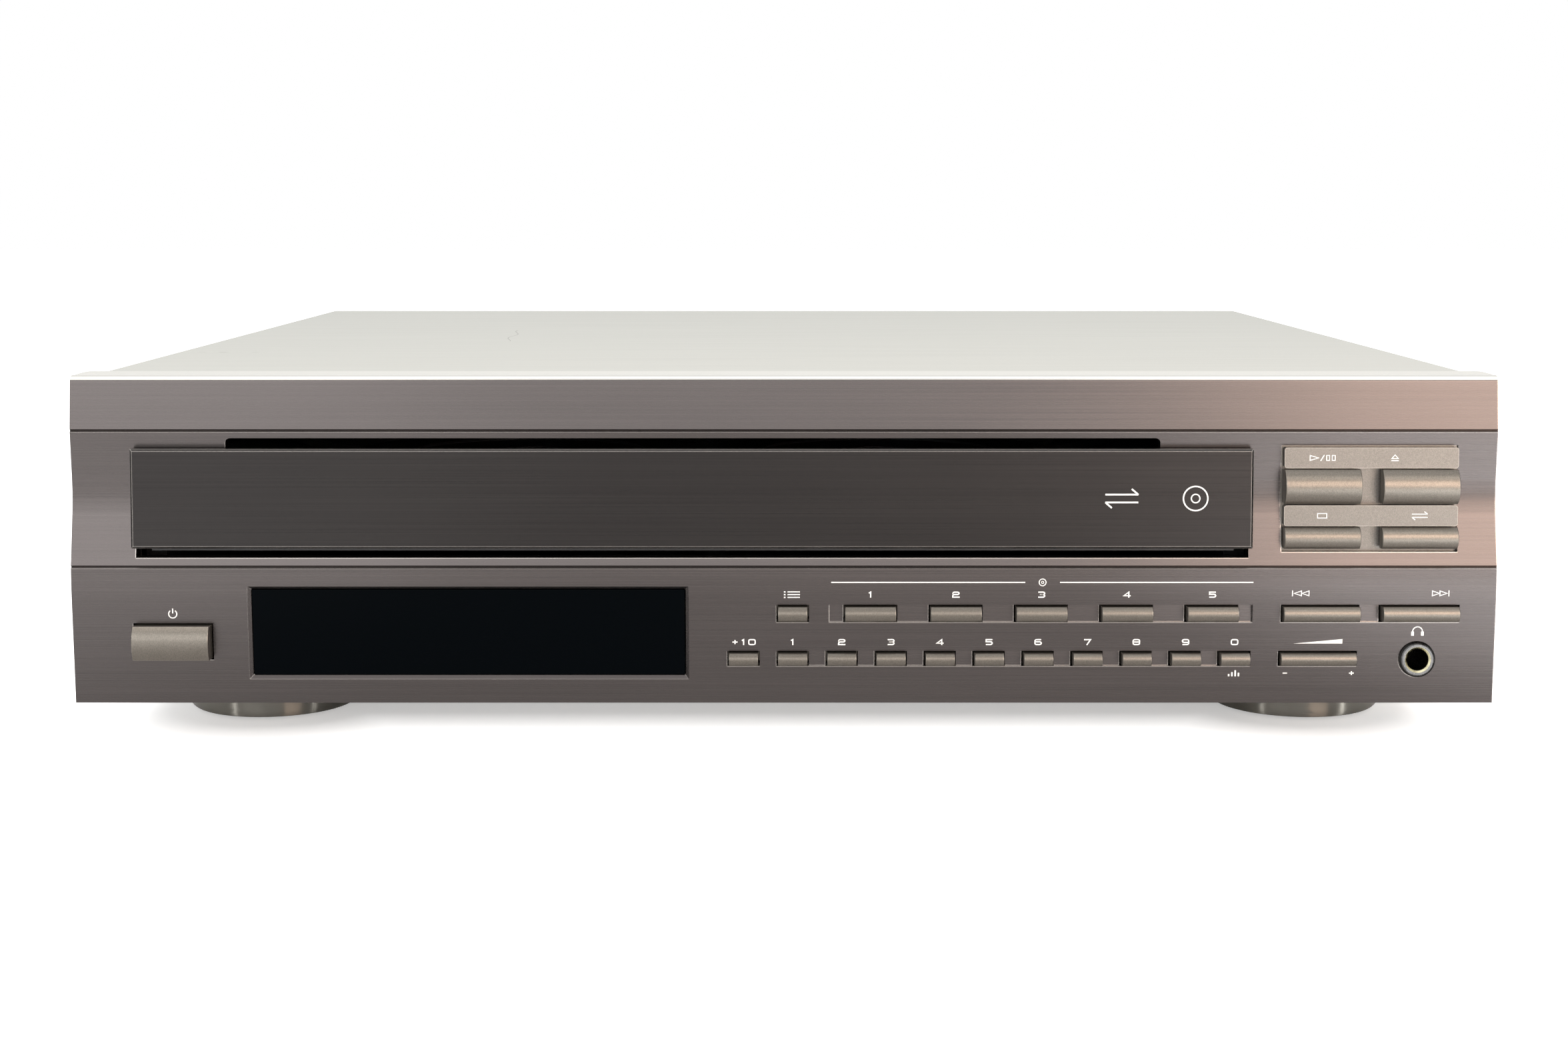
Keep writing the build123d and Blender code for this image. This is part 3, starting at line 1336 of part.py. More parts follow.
# Carousel: five stepped wells, slots to the rim, raised hub and the ring gear below
well_floor = carousel_bottom + carousel_floor
with BuildPart() as carousel:
    post(drawer_x, carousel_y, carousel_bottom, carousel_radius, carousel_top - carousel_bottom)
    for z, radius in ((well_floor, well_radius), (well_floor - small_disc_step, small_disc_radius)):
        with Locations((drawer_x, carousel_y, z)):
            with PolarLocations(pitch_radius, well_count, start_angle=90):
                Cylinder(radius, well_depth + over, align=(Align.CENTER, Align.CENTER, Align.MIN),
                         mode=Mode.SUBTRACT)
    with BuildSketch(Plane.XY.offset(carousel_bottom - over)):
        with Locations((drawer_x, carousel_y)):
            with PolarLocations(pitch_radius, well_count, start_angle=90):
                Circle(well_slot / 2)
                Rectangle(well_radius + well_finger_over, well_slot, align=(Align.MIN, Align.CENTER))
    extrude(amount=carousel_top - carousel_bottom + 2 * over, mode=Mode.SUBTRACT)
    post(drawer_x, carousel_y, carousel_bottom, hub_radius, carousel_top + hub_step - carousel_bottom)
    # Ring gear
    with BuildSketch(Plane.XY.offset(carousel_bottom - ring_height)):
        with Locations((drawer_x, carousel_y)):
            Polygon(*gear_points(ring_module, ring_teeth, 0), align=None)
            Circle(ring_radius - ring_rim, mode=Mode.SUBTRACT)
    extrude(amount=ring_height)
    post(drawer_x, carousel_y, carousel_bottom - over, hub_pin_radius + shaft_gap,
         carousel_top + hub_step + 2 * over - carousel_bottom, mode=Mode.SUBTRACT)
save(carousel.part, "carousel")

# Flat carousel motor on the tray floor, with its pinion under the ring gear's edge
pinion_y = carousel_y - ring_module * (ring_teeth + carousel_pinion_teeth) / 2
ring_bottom = carousel_bottom - ring_height
pinion_bottom = ring_bottom + 2 * fit_gap
with BuildPart() as carousel_motor:
    post(drawer_x, pinion_y, tray_floor_top, carousel_motor_radius,
         ring_bottom - carousel_motor_gap - tray_floor_top)
    chamfer(carousel_motor.edges().filter_by(GeomType.CIRCLE).group_by(Axis.Z)[-1], motor_edge)
    post(drawer_x, pinion_y, tray_floor_top, carousel_shaft, carousel_bottom - over - tray_floor_top)
save(carousel_motor.part, "carousel_motor")
make_gear("carousel_pinion", (drawer_x, pinion_y, pinion_bottom), ring_module,
          carousel_pinion_teeth, 90 + 180 / carousel_pinion_teeth,
          carousel_bottom - carousel_motor_gap - pinion_bottom, carousel_shaft + shaft_gap / 2)
print("overall", overall_width, overall_depth, overall_height)
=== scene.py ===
"""Looks of a five-disc carousel CD changer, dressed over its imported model. Metres."""
import math

import bpy
import numpy as np
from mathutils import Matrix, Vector
from mathutils.bvhtree import BVHTree


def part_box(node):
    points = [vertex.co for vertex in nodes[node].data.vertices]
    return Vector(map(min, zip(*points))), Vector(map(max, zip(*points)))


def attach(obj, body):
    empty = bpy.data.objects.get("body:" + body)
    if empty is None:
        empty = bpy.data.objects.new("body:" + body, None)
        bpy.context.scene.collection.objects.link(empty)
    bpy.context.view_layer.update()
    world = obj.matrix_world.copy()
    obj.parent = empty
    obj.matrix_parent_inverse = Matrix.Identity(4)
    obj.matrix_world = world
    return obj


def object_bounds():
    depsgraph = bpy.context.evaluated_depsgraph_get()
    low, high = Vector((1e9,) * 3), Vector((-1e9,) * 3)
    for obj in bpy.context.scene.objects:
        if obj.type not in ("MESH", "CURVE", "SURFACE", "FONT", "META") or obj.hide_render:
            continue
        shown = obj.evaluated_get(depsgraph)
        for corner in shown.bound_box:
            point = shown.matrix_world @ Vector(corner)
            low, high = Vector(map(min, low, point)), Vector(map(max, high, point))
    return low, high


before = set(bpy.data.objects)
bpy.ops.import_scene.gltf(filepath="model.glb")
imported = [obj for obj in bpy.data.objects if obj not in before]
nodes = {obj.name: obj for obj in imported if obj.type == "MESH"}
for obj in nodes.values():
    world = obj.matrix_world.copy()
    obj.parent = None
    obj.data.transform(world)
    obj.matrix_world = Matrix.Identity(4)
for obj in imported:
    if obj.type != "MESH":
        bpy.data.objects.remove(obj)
model_low, model_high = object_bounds()
MM = 0.001

# Camera: the photograph's level view with its upright lines kept nearly upright
CAMERA_BACK = 0.89196
CAMERA_HEIGHT = 0.17185
CAMERA_DIP = math.radians(3.542)
LENS_MM = 52.827
SHIFT_Y = -0.12

camera_data = bpy.data.cameras.new("photo_camera")
camera_data.sensor_width = 36.0
camera_data.lens = LENS_MM
camera_data.shift_y = SHIFT_Y
camera = bpy.data.objects.new("photo_camera", camera_data)
camera.location = (0.0, -CAMERA_BACK, CAMERA_HEIGHT)
camera.rotation_euler = (math.pi / 2 - CAMERA_DIP, 0.0, 0.0)
bpy.context.scene.collection.objects.link(camera)
bpy.context.scene.camera = camera
bpy.context.scene.view_settings.view_transform = "Standard"

# Share of a noise's range that its pattern is taken from
NOISE_MIDDLE = (0.3, 0.7)

# An edge is full where the rounded normal's cosine to the true one is low, and none near 1
BEVEL_SAMPLES = 6
EDGE_FULL = 0.80
EDGE_NONE = 0.995
# Edges that face this way, within this span, are painted as catching the light: a painted highlight
DAYLIGHT_FROM = (0.55, 0.0, 0.83)
DAYLIGHT_SPAN = (0.10, 0.30)

# The top face of the panel and its frame, painted pale as a highlight, and the rim of bare metal
# round the window
CREST = model_high[2] - 0.9 * MM
CREST_SOFT = 0.5 * MM
RIM = 1.2 * MM


class Shader:
    """A material's node tree with short calls to add and join nodes."""

    def __init__(self, name):
        self.material = bpy.data.materials.new(name)
        self.material.use_nodes = True
        self.tree = self.material.node_tree
        self.surface = self.tree.nodes["Principled BSDF"]

    def add(self, kind, inputs=None, **settings):
        """Adds a node, sets its properties, and fills or links its inputs."""
        node = self.tree.nodes.new(kind)
        for key, value in settings.items():
            setattr(node, key, value)
        for key, value in (inputs or {}).items():
            self.feed(node.inputs[key], value)
        return node

    def feed(self, socket, value):
        """Links an output into a socket, or writes a plain value there."""
        if isinstance(value, bpy.types.NodeSocket):
            self.tree.links.new(value, socket)
        else:
            socket.default_value = value

    def set(self, **inputs):
        """Fills the Principled shader's sockets, with spaces written as underscores."""
        for key, value in inputs.items():
            self.feed(self.surface.inputs[key.replace("_", " ")], value)

    def place(self, scale=(1.0, 1.0, 1.0), shift=(0.0, 0.0, 0.0)):
        """Object coordinates, scaled per axis and then shifted."""
        where = self.add("ShaderNodeTexCoord")
        return self.add("ShaderNodeMapping", {
            "Vector": where.outputs["Object"], "Scale": scale, "Location": shift,
        }).outputs[0]

    def along(self, axis):
        """The object's own X, Y or Z in metres."""
        return self.add("ShaderNodeSeparateXYZ", {"Vector": self.place()}).outputs[axis]

    def math(self, operation, first, second=0.0):
        """One Math node."""
        return self.add("ShaderNodeMath", {0: first, 1: second}, operation=operation).outputs[0]

    def near(self, value, centre, half, soft):
        """1 where the value is within half of centre, fading to 0 over soft."""
        away = self.math("ABSOLUTE", self.math("SUBTRACT", value, centre))
        return self.ramp(away, 1.0, 0.0, half, half + soft)

    def from_axis(self, x, z):
        """Distance in metres from an axis along Y through X = x and Z = z."""
        flat = self.place((1.0, 0.0, 1.0), (-x, 0.0, -z))
        return self.add("ShaderNodeVectorMath", {0: flat}, operation="LENGTH").outputs["Value"]

    def crest(self):
        """1 on the machine's top face and the last of the round in front of it, where a pale
        highlight is painted.
        """
        return self.ramp(self.along("Z"), 0.0, 1.0, CREST - CREST_SOFT, CREST)

    def noise(self, scale, stretch=(1.0, 1.0, 1.0), detail=4.0, rough=0.55):
        """Noise in object space; scale is in cycles per metre."""
        return self.add("ShaderNodeTexNoise", {
            "Vector": self.place(stretch), "Scale": scale, "Detail": detail, "Roughness": rough,
        }).outputs["Fac"]

    def specks(self, per_metre, size, share):
        """Dust: the middles of a share of the cells, cells per metre and size in cells."""
        cells = self.add("ShaderNodeTexVoronoi", {"Vector": self.place(), "Scale": per_metre})
        dots = self.ramp(cells.outputs["Distance"], 1.0, 0.0, 0.6 * size, size)
        chosen = self.ramp(cells.outputs["Color"], 0.0, 1.0, 1.0 - share, 1.02 - share)
        return self.math("MULTIPLY", dots, chosen)

    def vary(self, noise, low, high):
        """Spreads the middle of a noise over a range."""
        return self.ramp(noise, low, high, *NOISE_MIDDLE)

    def mottle(self, noise, first, second):
        """Two colours mixed in the pattern of a noise."""
        return self.blend(self.vary(noise, 0.0, 1.0), first, second)

    def edges(self, radius, strength=1.0, catching=False):
        """1 along the solid's edges, from how far a rounded normal leaves the true one.

        Catching keeps only the edges that look up or to the right, which daylight finds: the mask
        of a painted highlight.
        """
        bevel = self.add("ShaderNodeBevel", {"Radius": radius}, samples=BEVEL_SAMPLES)
        round_normal = bevel.outputs[0]
        true_normal = self.add("ShaderNodeNewGeometry").outputs["True Normal"]
        agree = self.add("ShaderNodeVectorMath", {0: round_normal, 1: true_normal},
                         operation="DOT_PRODUCT").outputs["Value"]
        found = self.ramp(agree, strength, 0.0, EDGE_FULL, EDGE_NONE)
        if not catching:
            return found
        toward = self.add("ShaderNodeVectorMath", {0: round_normal, 1: DAYLIGHT_FROM},
                          operation="DOT_PRODUCT").outputs["Value"]
        return self.math("MULTIPLY", found, self.ramp(toward, 0.0, 1.0, *DAYLIGHT_SPAN))

    def ramp(self, value, low, high, from_low=0.0, from_high=1.0):
        """Maps a value from one range to another, clamped."""
        return self.add("ShaderNodeMapRange", {
            "Value": value, "From Min": from_low, "From Max": from_high,
            "To Min": low, "To Max": high,
        }).outputs[0]

    def blend(self, share, first, second):
        """Mixes two colours by a share."""
        node = self.add("ShaderNodeMix", data_type="RGBA")
        self.feed(node.inputs["Factor"], share)
        for socket, value in ((node.inputs[6], first), (node.inputs[7], second)):
            self.feed(socket, value if isinstance(value, bpy.types.NodeSocket) else (*value, 1.0))
        return node.outputs[2]

    def bump(self, height, strength, distance=0.00005, normal=None):
        """Feeds a height into the surface normal, or into another normal that is given."""
        values = {"Height": height, "Strength": strength, "Distance": distance}
        if normal is not None:
            values["Normal"] = normal
        self.set(Normal=self.add("ShaderNodeBump", values).outputs[0])


def srgb(red, green, blue):
    """A colour given as it looks on screen, 0 to 255, as linear light."""
    return tuple(((c / 255 + 0.055) / 1.055) ** 2.4 if c > 10 else c / 255 / 12.92
                 for c in (red, green, blue))


def tinted(colour, factor, lift=0.0):
    """A colour made paler or darker by a factor and a lift, at most white."""
    return tuple(min(1.0, factor * c + lift) for c in colour)


def brushed(name, dark, light, roughness, edge_colour, rim=None):
    """Anodised aluminium brushed along X: hair-fine streaks, paler cut edges, a few specks.

    The edges are paler partly as bare cut metal and partly as a painted highlight. With a rim node,
    only the edges that look up or to the right, where the light falls, are paler, and so are those
    round that node. The top face is painted pale, a painted highlight.
    """
    shader = Shader(name)
    fine = shader.noise(1.0, (8.0, 6400.0, 6400.0), 2.0, 0.6)
    wide = shader.noise(1.0, (3.0, 1500.0, 1500.0), 3.0, 0.6)
    cloud = shader.noise(11.0, (1.0, 1.0, 2.5), 3.0, 0.5)
    share = shader.math("ADD", shader.vary(fine, 0.0, 0.5), shader.vary(wide, 0.0, 0.3))
    share = shader.math("ADD", share, shader.ramp(cloud, 0.0, 0.2, 0.35, 0.65))
    colour = shader.blend(share, dark, light)
    colour = shader.blend(shader.specks(170.0, 0.05, 0.10), colour, srgb(158, 152, 146))
    # Edges made paler: partly bare cut metal, partly a painted highlight; with a rim, only those
    # facing the light
    bare_and_lit_edges = shader.edges(0.0006, 0.9, rim is not None)
    if rim:
        low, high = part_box(rim)
        across, up = (shader.near(shader.along(axis), (low[i] + high[i]) / 2,
                                  (high[i] - low[i]) / 2, RIM) for i, axis in ((0, "X"), (2, "Z")))
        around = shader.math("MULTIPLY", across, up)
        around = shader.math("MULTIPLY", around, shader.edges(0.0006, 0.75))
        bare_and_lit_edges = shader.math("MAXIMUM", bare_and_lit_edges, around)
    colour = shader.blend(bare_and_lit_edges, colour, edge_colour)
    # The top face and the last of its round are painted pale: a painted highlight
    shader.set(Base_Color=shader.blend(shader.crest(), colour, srgb(222, 220, 214)), Metallic=1.0)
    shader.set(Roughness=shader.vary(fine, roughness - 0.03, roughness + 0.04))
    shader.bump(fine, 0.05, 0.00001)
    return shader.material


def satin_paint(name, colour, roughness, grain=2600.0, depth=0.10):
    """Fine sprayed paint with a very fine grain, slow clouds of tone and paler edges, a painted
    highlight.
    """
    shader = Shader(name)
    fine = shader.noise(grain, detail=2.0)
    slow = shader.noise(14.0, detail=3.0)
    tone = shader.blend(shader.ramp(slow, 0.0, 1.0, 0.35, 0.65), tinted(colour, 0.88), colour)
    # Edges made paler: a painted highlight
    tone = shader.blend(shader.edges(0.0004, 0.5), tone, tinted(colour, 1.5, 0.01))
    shader.set(Base_Color=tone, Roughness=shader.vary(fine, roughness - 0.05, roughness + 0.05))
    shader.bump(fine, depth, 0.00003)
    return shader.material


def pearl_paint(name, colour, roughness):
    """The keys' metallic paint: a nearly metallic base with tiny flakes and paler edges, a painted
    highlight.
    """
    shader = Shader(name)
    flakes = shader.add("ShaderNodeTexVoronoi", {"Vector": shader.place(), "Scale": 4200.0})
    share = shader.ramp(flakes.outputs["Color"], 0.0, 1.0)
    slow = shader.noise(60.0, detail=2.0)
    base = shader.blend(share, tinted(colour, 0.80), tinted(colour, 1.22))
    base = shader.blend(shader.ramp(slow, 0.0, 0.2), base, colour)
    # Edges made paler: a painted highlight
    shader.set(Base_Color=shader.blend(shader.edges(0.00035, 0.4), base, srgb(214, 208, 198)))
    shader.set(Metallic=0.85)
    shader.set(Roughness=shader.ramp(flakes.outputs["Distance"], roughness, roughness + 0.1))
    shader.bump(shader.noise(3000.0, detail=2.0), 0.08, 0.00002)
    return shader.material


def moulded(name, colour, roughness, grain=1500.0, depth=0.18, top_highlight_colour=None):
    """Moulded plastic with a fine spark-eroded grain and paler edges, a painted highlight; a pale
    colour, given, paints its top face as a painted highlight.
    """
    shader = Shader(name)
    fine = shader.noise(grain, detail=4.0, rough=0.7)
    slow = shader.noise(20.0, detail=2.0)
    tone = shader.mottle(slow, tinted(colour, 0.85), colour)
    # Edges made paler: a painted highlight
    tone = shader.blend(shader.edges(0.0004, 0.35), tone, tinted(colour, 1.6, 0.01))
    # The top face painted in a pale colour: a painted highlight
    if top_highlight_colour:
        tone = shader.blend(shader.crest(), tone, top_highlight_colour)
    shader.set(Base_Color=tone, Roughness=shader.vary(fine, roughness - 0.06, roughness + 0.08))
    shader.bump(fine, depth, 0.00006)
    return shader.material


def turned(name, colour, roughness):
    """Metal turned on a lathe: fine rings by height and a gloss drawn out upwards.

    The normal leans to the level, so that the round of the lower edge looks crisp.
    """
    shader = Shader(name)
    rings = shader.noise(1.0, (0.0, 0.0, 5200.0), 3.0, 0.6)
    slow = shader.noise(120.0, detail=2.0)
    tone = shader.mottle(slow, tinted(colour, 0.88), colour)
    tone = shader.blend(shader.ramp(rings, 0.0, 0.35, 0.4, 0.7), tone, tinted(colour, 0.6))
    shader.set(Base_Color=tone, Metallic=1.0, Anisotropic=0.97)
    shader.set(Tangent=shader.add("ShaderNodeCombineXYZ", {"Z": 1.0}).outputs[0])
    shader.set(Roughness=shader.vary(rings, roughness - 0.05, roughness + 0.08))
    normal = shader.add("ShaderNodeNewGeometry").outputs["Normal"]
    leaning = shader.add("ShaderNodeVectorMath", {0: normal, 1: (1.0, 1.0, 0.12)},
                         operation="MULTIPLY").outputs[0]
    leaning = shader.add("ShaderNodeVectorMath", {0: leaning}, operation="NORMALIZE").outputs[0]
    shader.bump(rings, 0.06, 0.00002, leaning)
    return shader.material


def steel(name, colour, roughness, grain=(400.0, 400.0, 400.0)):
    """Plated sheet or bar: faint mottling and a soft grain."""
    shader = Shader(name)
    grain_noise = shader.noise(1.0, grain, 4.0, 0.6)
    spangle = shader.add("ShaderNodeTexVoronoi", {"Vector": shader.place(), "Scale": 90.0})
    share = shader.ramp(spangle.outputs["Color"], 0.0, 0.5)
    shader.set(Base_Color=shader.blend(share, tinted(colour, 0.85), colour), Metallic=1.0)
    shader.set(Roughness=shader.vary(grain_noise, roughness - 0.06, roughness + 0.08))
    shader.bump(grain_noise, 0.06, 0.00003)
    return shader.material


def jack(name, centre):
    """Headphone socket: grey sleeve, bright pale-brass lip, and a bore painted dark as its shade.
    """
    shader = Shader(name)
    out = shader.from_axis(centre[0] * MM, centre[1] * MM)
    grain = shader.noise(900.0, detail=3.0)
    sleeve = shader.mottle(grain, srgb(84, 84, 84), srgb(108, 108, 108))
    lip = shader.near(out, 0.0036, 0.00025, 0.0002)
    tone = shader.blend(lip, sleeve, srgb(206, 200, 168))
    # Painted shade: the bore is painted near black
    tone = shader.blend(shader.ramp(out, 1.0, 0.0, 0.00335, 0.0035), tone, srgb(26, 24, 20))
    rim = shader.near(out, 0.0053, 0.0002, 0.00015)
    shader.set(Base_Color=shader.blend(rim, tone, srgb(40, 39, 38)), Metallic=1.0)
    shader.set(Roughness=shader.vary(grain, 0.20, 0.34))
    return shader.material


def line_sockets(name, centres, colours):
    """Pin sockets: nickel sleeves round coloured insulators, with the hole in each painted dark as
    its shade.
    """
    shader = Shader(name)
    grain = shader.noise(600.0, detail=3.0)
    tone = shader.mottle(grain, srgb(196, 194, 188), srgb(220, 218, 212))
    metal = 1.0
    for (x, z), colour in zip(centres, colours):
        out = shader.from_axis(x, z)
        inside = shader.ramp(out, 1.0, 0.0, 0.0032, 0.0033)
        tone = shader.blend(inside, tone, colour)
        # Painted shade: the pin hole is painted near black
        tone = shader.blend(shader.ramp(out, 1.0, 0.0, 0.0017, 0.0018), tone, srgb(16, 16, 16))
        metal = shader.math("SUBTRACT", metal, inside)
    shader.set(Base_Color=tone, Metallic=metal, Roughness=shader.vary(grain, 0.18, 0.32))
    return shader.material


def window_black(name):
    """Deep tinted acrylic: near black, polished, with the faintest dust."""
    shader = Shader(name)
    dust = shader.noise(700.0, detail=5.0, rough=0.8)
    film = shader.ramp(dust, 0.0, 0.12, 0.62, 0.85)
    tone = shader.blend(film, srgb(2, 4, 6), srgb(30, 34, 36))
    tone = shader.blend(shader.specks(120.0, 0.045, 0.12), tone, srgb(96, 100, 102))
    shader.set(Base_Color=tone, Roughness=shader.ramp(dust, 0.04, 0.14, 0.6, 0.8))
    shader.set(Specular_IOR_Level=0.02)
    return shader.material


def top_paint(name):
    """The cover's smooth paint: faint streaks along X, one hairline scratch and a rubbed mark."""
    shader = Shader(name)
    fine = shader.noise(3200.0, detail=2.0)
    streak = shader.noise(1.0, (10.0, 260.0, 260.0), 4.0, 0.6)
    tone = shader.mottle(streak, srgb(208, 209, 203), srgb(213, 214, 208))
    x, y = shader.along("X"), shader.along("Y")
    wander = shader.math("SINE", shader.math("MULTIPLY", y, 150.0))
    wander = shader.math("MULTIPLY", wander, 0.0011)
    drift = shader.math("MULTIPLY", y, -0.045)
    line = shader.math("SUBTRACT", shader.math("SUBTRACT", x, wander), drift)
    scratch = shader.math("MULTIPLY", shader.near(line, -0.1052, 0.0001, 0.00012),
                          shader.near(y, 0.004, 0.033, 0.001))
    patchy = shader.ramp(shader.noise(260.0, detail=2.0), 0.0, 1.0, 0.45, 0.6)
    rub = shader.math("MULTIPLY", shader.near(y, -0.0898, 0.0004, 0.0006),
                      shader.near(x, -0.194, 0.008, 0.003))
    marks = shader.math("MAXIMUM", scratch, shader.math("MULTIPLY", rub, patchy))
    shader.set(Base_Color=shader.blend(marks, tone, srgb(172, 172, 166)))
    shader.set(Roughness=shader.vary(fine, 0.50, 0.58), Specular_IOR_Level=0.15)
    shader.bump(fine, 0.10, 0.00002)
    return shader.material


def circuit(name, part_level=None):
    """A paper-laminate board with faint copper tracks; above a level, its dark parts."""
    shader = Shader(name)
    tracks = shader.add("ShaderNodeTexBrick", {"Vector": shader.place(), "Scale": 160.0})
    fibre = shader.noise(900.0, detail=4.0)
    copper = shader.ramp(tracks.outputs["Fac"], 0.0, 0.5)
    tone = shader.blend(copper, srgb(128, 96, 52), srgb(70, 84, 44))
    tone = shader.blend(shader.ramp(fibre, 0.0, 0.3), tone, srgb(150, 118, 70))
    if part_level:
        above = shader.ramp(shader.along("Z"), 0.0, 1.0, part_level, part_level + 0.0002)
        kinds = shader.ramp(shader.noise(38.0, detail=0.0), 0.0, 1.0, 0.50, 0.52)
        sleeves = shader.blend(kinds, srgb(34, 36, 58), srgb(36, 36, 36))
        sleeves = shader.blend(shader.ramp(fibre, 0.0, 0.2), sleeves, srgb(110, 110, 112))
        tone = shader.blend(above, tone, sleeves)
    shader.set(Base_Color=tone, Roughness=shader.ramp(fibre, 0.42, 0.58))
    return shader.material


def winding(name, node):
    """Mains transformer: laminated core with a taped winding across its middle."""
    shader = Shader(name)
    low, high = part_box(node)
    laminations = shader.noise(1.0, (30.0, 2600.0, 30.0), 2.0, 0.5)
    sheets = shader.ramp(laminations, 0.0, 1.0, 0.35, 0.65)
    core = shader.blend(sheets, srgb(70, 62, 56), srgb(112, 98, 84))
    tape = shader.near(shader.along("X"), (low[0] + high[0]) / 2, 0.26 * (high[0] - low[0]), 0.0003)
    wrap = shader.ramp(shader.noise(1.0, (900.0, 20.0, 20.0), 2.0, 0.5), 0.0, 1.0, 0.35, 0.65)
    taped = shader.blend(wrap, srgb(196, 158, 62), srgb(212, 178, 84))
    shader.set(Base_Color=shader.blend(tape, core, taped))
    shader.set(Roughness=shader.ramp(laminations, 0.4, 0.55))
    shader.bump(laminations, 0.2, 0.0001)
    return shader.material


def ink(name, colour):
    """Screen-printed ink with a slightly uneven film, also used for a dark film of painted shade.
    """
    shader = Shader(name)
    film = shader.noise(1800.0, detail=3.0)
    shader.set(Base_Color=shader.mottle(film, tinted(colour, 0.88), colour), Roughness=0.5)
    return shader.material


def glass_tube(name):
    """The display tube: dark glass with a grey plate inside."""
    shader = Shader(name)
    grid = shader.add("ShaderNodeTexChecker", {"Vector": shader.place(), "Scale": 420.0})
    shader.set(Base_Color=shader.blend(shader.ramp(grid.outputs["Fac"], 0.0, 0.4),
                                       srgb(40, 52, 50), srgb(60, 72, 70)), Roughness=0.08)
    return shader.material


def lens_glass(name):
    """The pickup lens: coated glass, blue in the middle and violet towards the rim."""
    shader = Shader(name)
    facing = shader.add("ShaderNodeLayerWeight", {"Blend": 0.4}).outputs["Facing"]
    tone = shader.blend(facing, srgb(30, 44, 96), srgb(120, 84, 150))
    shader.set(Base_Color=tone, Coat_Weight=1.0, Coat_Roughness=0.02)
    shader.set(Roughness=shader.ramp(shader.noise(400.0), 0.03, 0.08))
    return shader.material


def wound_copper(name):
    """Enamelled copper wire in fine turns, one over the other."""
    shader = Shader(name)
    turns = shader.noise(1.0, (0.0, 0.0, 9000.0), 1.0, 0.4)
    shader.set(Base_Color=shader.blend(shader.ramp(turns, 0.0, 1.0, 0.35, 0.65),
                                       srgb(124, 62, 30), srgb(198, 116, 62)), Metallic=0.9)
    shader.set(Roughness=shader.ramp(turns, 0.3, 0.42))
    return shader.material


def middle_of(node):
    """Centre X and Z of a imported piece, in millimetres."""
    low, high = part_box(node)
    return (low[0] + high[0]) / 2 / MM, (low[2] + high[2]) / 2 / MM


BOARD = 1.6 * MM

# Line-out sockets, one above the other, whose body ends this far beyond their centres
SOCKET_BODY_END = 8.0 * MM
sockets_low, sockets_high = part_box("line_out_sockets")
sockets_x = (sockets_low[0] + sockets_high[0]) / 2
socket_centres = ((sockets_x, sockets_high[2] - SOCKET_BODY_END),
                  (sockets_x, sockets_low[2] + SOCKET_BODY_END))

materials = {
    "fascia_brushed": brushed("fascia_brushed", srgb(77, 73, 72), srgb(87, 82, 81), 0.27,
                              srgb(190, 184, 178), rim="display_window"),
    "door_brushed": brushed("door_brushed", srgb(45, 43, 43), srgb(53, 51, 50), 0.30,
                            srgb(196, 190, 184)),
    # The frame's top face is painted pale: a painted highlight
    "frame_plastic": moulded("frame_plastic", srgb(72, 69, 67), 0.42,
                             top_highlight_colour=srgb(222, 222, 216)),
    "key_pearl": pearl_paint("key_pearl", srgb(106, 101, 94), 0.28),
    "surround_pearl": pearl_paint("surround_pearl", srgb(108, 104, 99), 0.34),
    "window_black": window_black("window_black"),
    "display_glass": glass_tube("display_glass"),
    "laminate": circuit("laminate"),
    "populated_board": circuit("populated_board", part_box("main_board")[0][2] + BOARD),
    "jack_rings": jack("jack_rings", middle_of("headphone_socket")),
    "zinc_plate": steel("zinc_plate", srgb(176, 176, 172), 0.38),
    "black_texture": satin_paint("black_texture", srgb(38, 38, 39), 0.55, 1400.0, 0.35),
    "cover_paint": top_paint("cover_paint"),
    "dark_nickel": steel("dark_nickel", srgb(150, 148, 144), 0.25, (900.0, 900.0, 900.0)),
    "foot_turned": turned("foot_turned", srgb(126, 123, 116), 0.30),
    "black_moulding": moulded("black_moulding", srgb(34, 34, 35), 0.50),
    "pad_rubber": moulded("pad_rubber", srgb(40, 39, 38), 0.80, 900.0, 0.35),
    "transformer_winding": winding("transformer_winding", "transformer"),
    "line_sockets": line_sockets("line_sockets", socket_centres,
                                 (srgb(224, 222, 214), srgb(170, 30, 28))),
    "tray_moulding": moulded("tray_moulding", srgb(46, 46, 48), 0.46, 1700.0, 0.22),
    "motor_can": steel("motor_can", srgb(190, 190, 190), 0.30),
    "acetal": moulded("acetal", srgb(222, 220, 210), 0.38, 700.0, 0.08),
    "pickup_black": moulded("pickup_black", srgb(44, 44, 44), 0.45, 900.0, 0.15),
    "ground_steel": steel("ground_steel", srgb(206, 206, 206), 0.16, (80.0, 3000.0, 3000.0)),
    "lens_glass": lens_glass("lens_glass"),
    "wound_copper": wound_copper("wound_copper"),
    "print_white": ink("print_white", srgb(226, 226, 222)),
    # A dark film for the screws' cross recesses: painted shade
    "recess_shade": ink("recess_shade", srgb(24, 24, 24)),
    "print_grey": ink("print_grey", srgb(150, 150, 148)),
}

